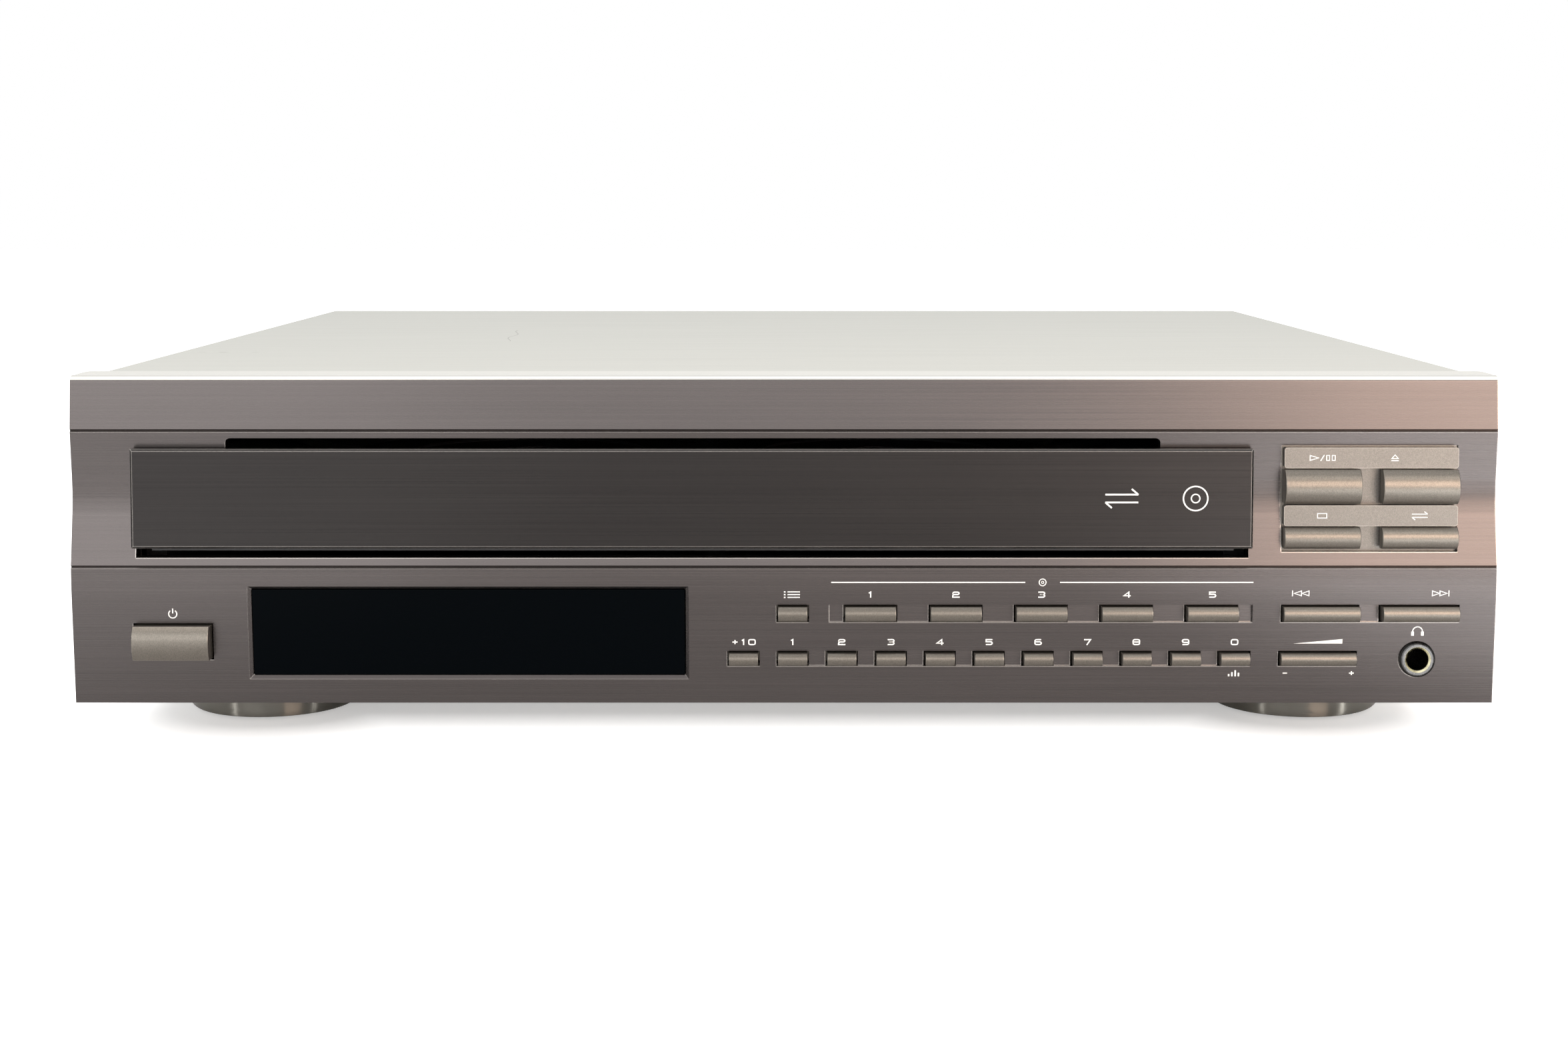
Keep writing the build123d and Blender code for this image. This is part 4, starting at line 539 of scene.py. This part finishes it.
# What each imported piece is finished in; the keys, which aren't listed, have the pearl paint
finishes = {
    "fascia": "fascia_brushed", "drawer_door": "door_brushed", "front_frame": "frame_plastic",
    "control_surround": "surround_pearl", "display_window": "window_black",
    "display_tube": "display_glass", "key_board": "laminate", "main_board": "populated_board",
    "headphone_socket": "jack_rings", "chassis_base": "zinc_plate", "rear_panel": "black_texture",
    "top_cover": "cover_paint", "case_screws": "dark_nickel", "front_feet": "foot_turned",
    "rear_feet": "black_moulding", "foot_pads": "pad_rubber", "transformer": "transformer_winding",
    "line_out_sockets": "line_sockets", "mains_gland": "black_moulding",
    "mech_deck": "black_moulding", "clamp_bridge": "zinc_plate", "clamp_puck": "black_moulding",
    "drawer_tray": "tray_moulding", "carousel": "tray_moulding", "carousel_motor": "motor_can",
    "carousel_pinion": "acetal",
    "drive_gear": "acetal", "drive_pinion": "acetal", "lift_gear": "acetal",
    "drive_motors": "motor_can", "cam_slider": "acetal", "lift_frame": "black_moulding",
    "spindle": "pickup_black", "pickup": "pickup_black", "sled_rods": "ground_steel",
}
for name, node in nodes.items():
    finish = finishes.get(name, "key_pearl")
    node.data.materials.clear()
    node.data.materials.append(materials[finish])


def add_piece(name, points, faces, material, body, film_thickness=None):
    """Makes a piece from points and faces and lets it ride on a body.

    A film is a sheet of faces that is given a thickness.
    """
    mesh = bpy.data.meshes.new(name)
    mesh.from_pydata(points, [], faces)
    mesh.materials.append(materials[material])
    piece = bpy.data.objects.new(name, mesh)
    bpy.context.scene.collection.objects.link(piece)
    if film_thickness:
        film = piece.modifiers.new("film", "SOLIDIFY")
        film.thickness = film_thickness
        film.offset = 0.0
    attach(piece, body)


# Printed marks: strokes laid on the surface of the piece that carries them, which is found
# by a ray from this far out
RAY_START = 0.5


class Face:
    """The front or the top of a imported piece, for laying print on it."""

    def __init__(self, node, from_above=False):
        mesh = nodes[node].data
        points = [vertex.co.copy() for vertex in mesh.vertices]
        faces = [tuple(polygon.vertices) for polygon in mesh.polygons]
        self.tree = BVHTree.FromPolygons(points, faces)
        self.from_above = from_above

    def lay(self, across, along, lift):
        """The surface point at X = across and Z (from above, Y) = along, raised by lift."""
        if self.from_above:
            start, way = Vector((across, along, RAY_START)), Vector((0.0, 0.0, -1.0))
            return (across, along, self.tree.ray_cast(start, way)[0].z + lift)
        start, way = Vector((across, -RAY_START, along)), Vector((0.0, 1.0, 0.0))
        return (across, self.tree.ray_cast(start, way)[0].y - lift, along)


def ribbon(points, width, closed=False):
    """Left and right edges of a stroke along points, as an array (n, 2, 2).

    Both edges of a point lie square to the mean of the directions before and after it, at half
    the width divided by the cosine of half the bend, which makes the corners mitred.
    """
    path = np.asarray(points, float)
    before = np.roll(path, 1, axis=0)
    after = np.roll(path, -1, axis=0)
    if not closed:
        before[0] = 2 * path[0] - path[1]
        after[-1] = 2 * path[-1] - path[-2]
    arriving = (path - before) / np.linalg.norm(path - before, axis=1)[:, None]
    leaving = (after - path) / np.linalg.norm(after - path, axis=1)[:, None]
    middle = arriving + leaving
    middle /= np.linalg.norm(middle, axis=1)[:, None]
    side = np.stack([-middle[:, 1], middle[:, 0]], axis=1)
    reach = width / 2 / np.clip((middle * leaving).sum(axis=1), 0.5, 1.0)
    return np.stack([path + side * reach[:, None], path - side * reach[:, None]], axis=1)


class Print:
    """Collects strokes and filled shapes and lays them on a face as one thin piece."""

    def __init__(self, name, face, body, slot, material="print_white"):
        self.name, self.face, self.body, self.slot = name, face, body, slot
        self.material = material
        self.points, self.faces = [], []

    def stroke(self, points, width, closed=False):
        """Adds a stroke in millimetres on the panel."""
        edges = ribbon(points, width, closed)
        index = len(self.points) + 2 * np.arange(len(edges))
        following = np.roll(index, -1)
        faces = np.stack([index, index + 1, following + 1, following], axis=1).tolist()
        self.points.extend(edges.reshape(-1, 2))
        self.faces.extend(faces if closed else faces[:-1])

    def fill(self, points):
        """Adds a filled convex shape in millimetres."""
        first = len(self.points)
        self.points.extend(points)
        self.faces.append(tuple(range(first, first + len(points))))

    def block(self, left, low, width, height):
        """Adds a filled rectangle."""
        self.fill([(left, low), (left + width, low), (left + width, low + height),
                   (left, low + height)])

    def finish(self, lift=0.00003, thickness=0.00005):
        """Lays everything on the face and gives it a film's thickness."""
        vertices = [self.face.lay(x * MM, z * MM, lift) for x, z in self.points]
        add_piece(self.name, vertices, self.faces, self.material, self.body, thickness)


def arc(centre, radius, start, end, steps=8):
    """Points of an arc: the centre plus the radius times the cosine and sine of each angle.

    The angles are in degrees.
    """
    angles = np.radians(np.linspace(start, end, steps + 1))
    return [(centre[0] + radius * math.cos(a), centre[1] + radius * math.sin(a)) for a in angles]


# Wide digits with rounded corners, drawn in a box 1 wide and 1 high
CORNER = 0.26


def loop(left, right, low, high, corner=CORNER):
    """A rounded rectangle as a closed run of points: a quarter arc at each corner."""
    return (arc((right - corner, high - corner), corner, 90, 0, 3)
            + arc((right - corner, low + corner), corner, 0, -90, 3)
            + arc((left + corner, low + corner), corner, -90, -180, 3)
            + arc((left + corner, high - corner), corner, 180, 90, 3))


DIGITS = {
    "0": [(loop(0, 1, 0, 1), True)],
    "1": [([(0.24, 0.80), (0.52, 1.0), (0.52, -0.10)], False)],
    "2": [([(0, 0.78), *arc((0.24, 0.76), 0.24, 180, 90, 2), *arc((0.74, 0.76), 0.24, 90, -90, 4),
            *arc((0.24, 0.28), 0.24, 90, 180, 2), (0, 0), (1.08, 0)], False)],
    "3": [([(0, 1), (0.72, 1), *arc((0.76, 0.76), 0.24, 90, -90, 4), (0.22, 0.52)], False),
          ([(0.22, 0.52), (0.72, 0.52), *arc((0.74, 0.26), 0.26, 90, -90, 4), (0, 0)], False)],
    "4": [([(0.78, -0.10), (0.78, 1.0), (0.0, 0.28), (1.08, 0.28)], False)],
    "5": [([(1.02, 1.0), (0.04, 1.0), (0.04, 0.58), (0.70, 0.58),
            *arc((0.72, 0.29), 0.29, 90, -90, 4), (0, 0)], False)],
    "6": [([(0.96, 1.0), *arc((0.26, 0.74), 0.26, 90, 180, 3),
            *arc((0.26, 0.26), 0.26, 180, 270, 3), *arc((0.72, 0.28), 0.28, -90, 90, 4),
            (0.04, 0.56)], False)],
    "7": [([(0, 1.0), (1.0, 1.0), (0.42, -0.10)], False)],
    "8": [(loop(0, 1, 0, 1), True), ([(0.0, 0.52), (1.0, 0.52)], False)],
    "9": [([(0.04, 0.0), *arc((0.74, 0.26), 0.26, -90, 0, 3), *arc((0.74, 0.74), 0.26, 0, 90, 3),
            *arc((0.28, 0.72), 0.28, 90, 270, 4), (0.96, 0.44)], False)],
    "+": [([(0.1, 0.5), (0.9, 0.5)], False), ([(0.5, 0.1), (0.5, 0.9)], False)],
    "-": [([(0.12, 0.5), (0.88, 0.5)], False)],
}
DIGIT_WIDTH = 1.95
DIGIT_HEIGHT = 1.55
DIGIT_STROKE = 0.39
DIGIT_STEP = 2.60


def write(sheet, text, x, z, size=1.0, turn=0.0, tall=1.0):
    """Writes digits centred on x, z (millimetres), turned by an angle in degrees."""
    cosine, sine = math.cos(math.radians(turn)), math.sin(math.radians(turn))
    for place, letter in enumerate(text):
        left = (place - (len(text) - 1) / 2) * DIGIT_STEP - DIGIT_WIDTH / 2
        for points, closed in DIGITS[letter]:
            height = DIGIT_HEIGHT * tall
            box = size * (np.asarray(points) * (DIGIT_WIDTH, height) + (left, -height / 2))
            turned_box = [(x + u * cosine - v * sine, z + u * sine + v * cosine) for u, v in box]
            sheet.stroke(turned_box, DIGIT_STROKE * size, closed)


def triangle(sheet, x, z, width, height, way=1):
    """An outlined triangle pointing along X."""
    tip = x + way * width / 2
    back = x - way * width / 2
    sheet.stroke([(back, z - height / 2), (tip, z), (back, z + height / 2)], FINE, True)


def rectangle(sheet, left, z, width, height, line):
    """An outlined rectangle, placed by its left side and its middle height."""
    low, high = z - height / 2, z + height / 2
    sheet.stroke([(left, low), (left + width, low), (left + width, high), (left, high)], line, True)


def exchange_arrows(sheet, x, z, half, apart, barb, line):
    """Two opposed arrows, each half long on both sides of x, with one barb (along, across)."""
    for way in (1, -1):
        end, height = x + way * half, z + way * apart
        sheet.stroke([(x - way * half, height), (end, height)], line)
        sheet.stroke([(end - way * barb[0], height + way * barb[1]), (end, height)], line)


# Widths of line, and the labels' height over the middles of the keys
LINE = 0.34
FINE = 0.26
UPPER_LABEL = 5.9
LOWER_LABEL = 5.15
panel_face = Face("fascia")
panel_print = Print("panel_print", panel_face, "case", "fascia_metal")

DISCS = 5
for number in range(1, DISCS + 1):
    x, z = middle_of(f"disc_{number}_key")
    write(panel_print, str(number), x, z + UPPER_LABEL)
for number in range(10):
    x, z = middle_of(f"digit_{number}_key")
    write(panel_print, str(number), x, z + LOWER_LABEL)
x, z = middle_of("plus_ten_key")
write(panel_print, "+10", x, z + LOWER_LABEL)

# A list sign over the program key
LIST_STEP = 0.85
x, z = middle_of("program_key")
for step in (-1, 0, 1):
    height = z + UPPER_LABEL + LIST_STEP * step
    panel_print.stroke([(x - 1.6, height), (x + 2.2, height)], 0.32)
    panel_print.stroke([(x - 2.7, height), (x - 2.2, height)], 0.40)

# The two lines over the disc keys, with a plain disc sign between them
first_x, row_z = middle_of("disc_1_key")
last_x = middle_of("disc_5_key")[0]
LINE_ABOVE = 9.7
SIGN_CLEAR = 5.3
line_z = row_z + LINE_ABOVE
disc_sign_x = first_x + 52.5
panel_print.stroke([(first_x - 12.0, line_z), (disc_sign_x - SIGN_CLEAR, line_z)], LINE)
panel_print.stroke([(disc_sign_x + SIGN_CLEAR, line_z), (last_x + 12.4, line_z)], LINE)
panel_print.stroke(arc((disc_sign_x, line_z), 1.05, 0, 345, 22), FINE, True)
panel_print.stroke(arc((disc_sign_x, line_z), 0.35, 0, 330, 11), 0.20, True)

# Skip signs, two triangles and a bar at the outer ends of their keys
SKIP_ABOVE = 6.3
SKIP_OUT = 8.0
for key, way in (("skip_back_key", -1), ("skip_forward_key", 1)):
    x, z = middle_of(key)
    x += way * SKIP_OUT
    z += SKIP_ABOVE
    for step in (0, 1):
        triangle(panel_print, x - way * (0.9 + 2.3 * step), z, 2.2, 1.5, way)
    panel_print.stroke([(x + way * 0.75, z - 0.9), (x + way * 0.75, z + 0.9)], 0.30)

# Level signs: minus and plus below, a rising wedge above
x, z = middle_of("level_rocker")
LEVEL_BELOW = 4.6
WEDGE_HALF = 7.5
write(panel_print, "-", x - 9.8, z - LEVEL_BELOW, 0.9)
write(panel_print, "+", x + 10.6, z - LEVEL_BELOW, 0.95)
panel_print.fill([(x - WEDGE_HALF, z + 4.7), (x + WEDGE_HALF, z + 4.7), (x + WEDGE_HALF, z + 6.1)])

# Headphone sign: a band over two cushions
HEADPHONES_ABOVE = 8.6
BAND_RADIUS = 1.5
CUSHION = (0.84, 1.3)
x, z = middle_of("headphone_socket")
sign_z = z + HEADPHONES_ABOVE
panel_print.stroke(arc((x, sign_z), BAND_RADIUS, 0, 180, 12), 0.32)
for side in (-1, 1):
    panel_print.block(x + side * BAND_RADIUS - CUSHION[0] / 2, sign_z - CUSHION[1], *CUSHION)

# Power sign, and peak bars under the last digit
POWER_ABOVE = 8.6
x, z = middle_of("power_key")
power_z = z + POWER_ABOVE
panel_print.stroke(arc((x, power_z), 1.25, 125, 415, 20), LINE)
panel_print.stroke([(x, power_z + 0.2), (x, power_z + 1.7)], LINE)
PEAK_BELOW = 5.6
x, z = middle_of("digit_0_key")
for step, tall in enumerate((0.7, 1.3, 1.9, 1.1)):
    panel_print.block(x - 1.8 + step, z - PEAK_BELOW, 0.5, tall)
panel_print.finish()

# Signs on the label bars of the transport block
bar_face = Face("control_surround")
bar_print = Print("bar_print", bar_face, "case", "surround")
play_x, play_z = middle_of("play_key")
open_x = middle_of("open_key")[0]
stop_x, stop_z = middle_of("stop_key")
top_bar_z = play_z + 8.85
low_bar_z = stop_z + 6.85
eject_x = open_x - 7.8
triangle(bar_print, play_x - 2.6, top_bar_z, 2.6, 1.5)
bar_print.stroke([(play_x - 0.7, top_bar_z - 0.9), (play_x + 0.4, top_bar_z + 0.9)], FINE)
for step in (0, 1):
    rectangle(bar_print, play_x + 1.1 + 1.7 * step, top_bar_z, 0.9, 1.5, 0.22)
bar_print.stroke([(eject_x - 1.0, top_bar_z - 0.2), (eject_x + 1.0, top_bar_z - 0.2),
                  (eject_x, top_bar_z + 0.9)], 0.22, True)
bar_print.stroke([(eject_x - 1.1, top_bar_z - 0.85), (eject_x + 1.1, top_bar_z - 0.85)], FINE)
rectangle(bar_print, stop_x - 1.4, low_bar_z, 2.8, 1.4, 0.24)
exchange_arrows(bar_print, open_x, low_bar_z, 2.4, 0.5, (1.0, 0.75), FINE)
bar_print.finish()

# Plain signs on the door: two opposed arrows and a disc
door_face = Face("drawer_door")
door_print = Print("door_print", door_face, "drawer", "door_metal")
door_low, door_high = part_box("drawer_door")
door_right = door_high[0] / MM
door_sign_z = 79.0
disc_x = door_right - 17.6
exchange_arrows(door_print, door_right - 40.0, door_sign_z, 5.0, 1.2, (2.0, 1.7), 0.5)
door_print.stroke(arc((disc_x, door_sign_z), 3.7, 0, 350, 35), 0.42, True)
door_print.stroke(arc((disc_x, door_sign_z), 1.3, 0, 345, 23), 0.36, True)
door_print.finish()

# Place numbers on the carousel, one by each disc well, read from the rim
carousel_low, carousel_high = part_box("carousel")
carousel_x = (carousel_low[0] + carousel_high[0]) / 2 / MM
carousel_y = (carousel_low[1] + carousel_high[1]) / 2 / MM
carousel_face = Face("carousel", from_above=True)
well_numbers = Print("well_numbers", carousel_face, "carousel", "tray_plastic", "print_grey")
NUMBER_RADIUS = 27.0
for number in range(1, DISCS + 1):
    angle = 90.0 + 360.0 / DISCS * (number - 1)
    write(well_numbers, str(number), carousel_x + NUMBER_RADIUS * math.cos(math.radians(angle)),
          carousel_y + NUMBER_RADIUS * math.sin(math.radians(angle)), 2.6, angle + 90.0, 1.5)
well_numbers.finish()


def revolved(profile, centre, steps=48):
    """Points and faces of a profile (radius, height) turned about an upright axis.

    A point is the centre, plus its radius times the cosine and the sine of an angle that goes
    once round, plus its height upwards.
    """
    profile = np.asarray(profile, float)
    angles = np.linspace(0.0, 2 * np.pi, steps, endpoint=False)[:, None]
    grid = np.stack([profile[:, 0] * np.cos(angles), profile[:, 0] * np.sin(angles),
                     np.broadcast_to(profile[:, 1], (steps, len(profile)))], axis=2)
    index = np.arange(steps * len(profile)).reshape(steps, len(profile))
    turn_on = np.roll(index, -1, axis=0)
    faces = np.stack([index[:, :-1], turn_on[:, :-1], turn_on[:, 1:], index[:, 1:]], axis=2)
    return (grid.reshape(-1, 3) + np.asarray(centre)).tolist(), faces.reshape(-1, 4).tolist()


# Lens in its holder: a domed glass over the lens post, inside a ring of focus coil. The dome
# is a quarter ellipse, with its radius by the sine and its rise by the cosine of an angle, and
# stops just short of the axis, at POLE.
pickup_low, pickup_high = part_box("pickup")
lens_centre = ((pickup_low[0] + pickup_high[0]) / 2, (pickup_low[1] + pickup_high[1]) / 2,
               pickup_high[2])
LENS_RADIUS = 2.3 * MM
LENS_RISE = 0.9 * MM
LENS_SKIRT = 0.2 * MM
POLE = 1e-6
sweep = np.linspace(np.pi / 2, 0.0, 10)
dome = np.stack([LENS_RADIUS * np.sin(sweep) + POLE, LENS_RISE * np.cos(sweep)], axis=1)
skirt = np.array([[POLE, -LENS_SKIRT], [LENS_RADIUS, -LENS_SKIRT]])
lens_points, lens_faces = revolved(np.concatenate([skirt, dome]), lens_centre)
add_piece("pickup_lens", lens_points, lens_faces, "lens_glass", "pickup")

# Coil section: a circle of radius COIL_HALF that swells by a cosine once per turn of wire
COIL_RADIUS = 4.4 * MM
COIL_HALF = 0.62 * MM
COIL_DROP = 0.1 * MM
TURNS = 16
TURN_DEPTH = 0.06
around = np.linspace(0.0, 2 * np.pi, 3 * TURNS + 1)
ripple = COIL_HALF * (1 + TURN_DEPTH * np.cos(TURNS * around))
section = np.stack([COIL_RADIUS + ripple * np.cos(around), ripple * np.sin(around)], axis=1)
coil_centre = (lens_centre[0], lens_centre[1], lens_centre[2] - COIL_DROP)
coil_points, coil_faces = revolved(section, coil_centre)
add_piece("focus_coil", coil_points, coil_faces, "wound_copper", "pickup")

# Cross recesses of the case screws, drawn as a dark film that paints their shade: a square with
# four tapering arms, two screws on each side and three behind
screws_low, screws_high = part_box("case_screws")
SCREW_RADIUS = 3.8 * MM
SCREW_HEAD = 2.2 * MM
SHEET = 1.0 * MM
SCREW_MARGIN = 60.0 * MM
COVER_FRONT = -175.0 * MM
BACK_INSIDE = 188.0 * MM
ARM = 2.1 * MM
HALF_ARM = 0.55 * MM
TIP = 0.32 * MM
PROUD = 0.03 * MM
CROSS_FILM = 0.04 * MM
cross = np.array([(-HALF_ARM, -HALF_ARM), (HALF_ARM, -HALF_ARM), (HALF_ARM, HALF_ARM),
                  (-HALF_ARM, HALF_ARM), (-TIP, -ARM), (TIP, -ARM), (ARM, -TIP), (ARM, TIP),
                  (TIP, ARM), (-TIP, ARM), (-ARM, TIP), (-ARM, -TIP)])
cross_faces = np.array([(0, 1, 2, 3), (4, 5, 1, 0), (1, 6, 7, 2), (3, 2, 8, 9), (11, 0, 3, 10)])
cover_half = screws_high[0] - SCREW_HEAD
side_z = screws_low[2] + SCREW_RADIUS
rear_z = screws_high[2] - SCREW_RADIUS
cross_points = []
for side in (-1, 1):
    for y in (COVER_FRONT + SCREW_MARGIN, BACK_INSIDE - SCREW_MARGIN):
        outer = np.full(len(cross), side * (screws_high[0] + PROUD))
        cross_points.append(np.stack([outer, y + side * cross[:, 0], side_z + cross[:, 1]], axis=1))
for place in (-1, 0, 1):
    x = place * (cover_half - SHEET - SCREW_MARGIN)
    outer = np.full(len(cross), screws_high[1] + PROUD)
    cross_points.append(np.stack([x - cross[:, 0], outer, rear_z + cross[:, 1]], axis=1))
offsets = len(cross) * np.arange(len(cross_points))[:, None, None]
add_piece("screw_crosses", np.concatenate(cross_points).tolist(),
          (cross_faces + offsets).reshape(-1, 4).tolist(), "recess_shade", "case",
          CROSS_FILM)

# Floor and light
WHITE = (1.0, 1.0, 1.0, 1.0)
floor_mesh = bpy.data.meshes.new("floor")
REACH = 6.0
floor_mesh.from_pydata([(-REACH, -REACH, 0), (REACH, -REACH, 0), (REACH, REACH, 0),
                        (-REACH, REACH, 0)], [], [(0, 1, 2, 3)])
floor = bpy.data.objects.new("floor", floor_mesh)
bpy.context.scene.collection.objects.link(floor)


def white_when_seen(tree):
    """1 for camera, glossy and transmission rays, 0 for the rays that light the object."""
    path = tree.nodes.new("ShaderNodeLightPath")
    seen = path.outputs["Is Camera Ray"]
    for ray in ("Is Glossy Ray", "Is Transmission Ray"):
        join = tree.nodes.new("ShaderNodeMath")
        join.operation = "MAXIMUM"
        tree.links.new(seen, join.inputs[0])
        tree.links.new(path.outputs[ray], join.inputs[1])
        seen = join.outputs[0]
    return seen


# A pale floor that reads white, with a painted shadow under the object: its white glow is taken
# down in a soft rectangle under the case and a soft disc round each front foot. It isn't seen from
# below.
FLOOR_TONE = (0.92, 0.92, 0.92, 1.0)
FLOOR_LIFT = 0.86
PAINTED_SHADOW_DEPTH = 0.46
REFLECTED_LIFT = 0.10
UNDER_X = (0.0, 0.185, 0.03)
UNDER_Y = (0.0125, 0.1525, 0.025)
FOOT_DISC = (0.034, 0.060)
FOOT_X = 0.171
FOOT_Y = -0.126
floor_shader = Shader("studio_floor")
path = floor_shader.add("ShaderNodeLightPath")
footprint = floor_shader.math("MULTIPLY", floor_shader.near(floor_shader.along("X"), *UNDER_X),
                              floor_shader.near(floor_shader.along("Y"), *UNDER_Y))
for side in (-1, 1):
    away = floor_shader.add(
        "ShaderNodeVectorMath", {0: floor_shader.place(), 1: (side * FOOT_X, FOOT_Y, 0.0)},
        operation="DISTANCE").outputs["Value"]
    disc = floor_shader.ramp(away, 1.0, 0.0, *FOOT_DISC)
    footprint = floor_shader.math("MAXIMUM", footprint, disc)
# Painted shadow: the glow is lowered under the footprint
painted_shadow = floor_shader.math("MULTIPLY", footprint, PAINTED_SHADOW_DEPTH)
lift = floor_shader.math("SUBTRACT", FLOOR_LIFT, painted_shadow)
mirrored = floor_shader.math("MAXIMUM", path.outputs["Is Glossy Ray"],
                             path.outputs["Is Transmission Ray"])
floor_shader.set(Base_Color=FLOOR_TONE, Roughness=1.0, Specular_IOR_Level=0.0)
floor_shader.set(Emission_Color=WHITE, Emission_Strength=floor_shader.math(
    "ADD", floor_shader.math("MULTIPLY", path.outputs["Is Camera Ray"], lift),
    floor_shader.math("MULTIPLY", mirrored, REFLECTED_LIFT)))
from_below = floor_shader.add("ShaderNodeMixShader", {
    0: floor_shader.add("ShaderNodeNewGeometry").outputs["Backfacing"],
    1: floor_shader.surface.outputs["BSDF"],
    2: floor_shader.add("ShaderNodeBsdfTransparent").outputs[0],
})
floor_out = floor_shader.tree.nodes["Material Output"]
floor_shader.feed(floor_out.inputs["Surface"], from_below.outputs[0])
floor_mesh.materials.append(floor_shader.material)

# A white room, which lights the object more weakly than it shows
AMBIENT = 0.60
world = bpy.data.worlds.new("studio")
bpy.context.scene.world = world
world.use_nodes = True
tree = world.node_tree
tree.nodes.clear()
mix = tree.nodes.new("ShaderNodeMixShader")
tree.links.new(white_when_seen(tree), mix.inputs[0])
for socket, strength in ((mix.inputs[1], AMBIENT), (mix.inputs[2], 1.0)):
    background = tree.nodes.new("ShaderNodeBackground")
    background.inputs["Color"].default_value = WHITE
    background.inputs["Strength"].default_value = strength
    tree.links.new(background.outputs[0], socket)
world_out = tree.nodes.new("ShaderNodeOutputWorld")
tree.links.new(mix.outputs[0], world_out.inputs[0])


def soft_lamp(name, place, target, width, height, radiance, colour=(1.0, 1.0, 1.0)):
    """A rectangular soft lamp aimed at a point, with its brightness given beside white's 1."""
    data = bpy.data.lights.new(name, "AREA")
    data.shape = "RECTANGLE"
    data.size = width
    data.size_y = height
    data.energy = radiance * math.pi * width * height
    data.color = colour
    lamp = bpy.data.objects.new(name, data)
    lamp.location = place
    aim = Vector(target) - Vector(place)
    lamp.rotation_euler = aim.to_track_quat("-Z", "Y").to_euler()
    bpy.context.scene.collection.objects.link(lamp)


def floor_spot(name, x, y, reach, power, colour=(1.0, 1.0, 1.0)):
    """A soft-edged spot straight down on the floor, whose light the panel mirrors."""
    data = bpy.data.lights.new(name, "SPOT")
    data.energy = power
    data.color = colour
    data.spot_size = 2 * math.atan(reach / SPOT_HEIGHT)
    data.spot_blend = SPOT_BLEND
    data.shadow_soft_size = SPOT_RADIUS
    lamp = bpy.data.objects.new(name, data)
    lamp.location = (x, y, SPOT_HEIGHT)
    bpy.context.scene.collection.objects.link(lamp)


SPOT_HEIGHT = 1.2
SPOT_BLEND = 0.8
SPOT_RADIUS = 0.05
WARM = (1.0, 0.78, 0.65)
COOL = (0.95, 0.98, 1.0)
TUNGSTEN = (1.0, 0.95, 0.90)

# Soft lamps in front of the panel: place, aim, width, height, brightness beside white's 1
soft_lamp("overhead_soft", (0.0, -0.3, 1.8), (0.0, 0.0, 0.05), 1.6, 1.2, 1.0)
soft_lamp("left_soft", (-0.66, -1.4, 0.38), (-0.1, -0.19, 0.09), 0.66, 0.62, 2.6)
soft_lamp("middle_soft", (0.0, -1.6, 0.40), (0.0, -0.19, 0.09), 0.8, 0.62, 1.6)
soft_lamp("right_warm", (0.68, -1.35, 0.38), (0.2, -0.19, 0.09), 0.6, 0.62, 8.0, WARM)

# Spots on the floor, which the facets that look down mirror: place, reach and power
floor_spot("right_near_spot", 0.37, -0.43, 0.25, 215.0, COOL)
floor_spot("right_far_spot", 0.42, -0.90, 0.30, 70.0)
floor_spot("left_near_spot", -0.34, -0.45, 0.26, 50.0, COOL)
floor_spot("left_far_spot", -0.46, -0.90, 0.30, 50.0)

# High lamps for the upper rounds of the keys, and narrow ones for the bands on the feet
for side, name, aim_z in ((1, "right_high", 0.08), (-1, "left_high", 0.06)):
    soft_lamp(name, (side * 0.50, -1.00, 0.95), (side * 0.18, -0.19, aim_z), 0.5, 0.4, 2.8,
              TUNGSTEN)
soft_lamp("left_window", (-1.20, -1.20, 0.32), (-0.17, -0.13, 0.01), 0.08, 0.6, 36.0)
soft_lamp("right_window", (1.40, -0.90, 0.32), (0.17, -0.13, 0.01), 0.08, 0.6, 36.0)
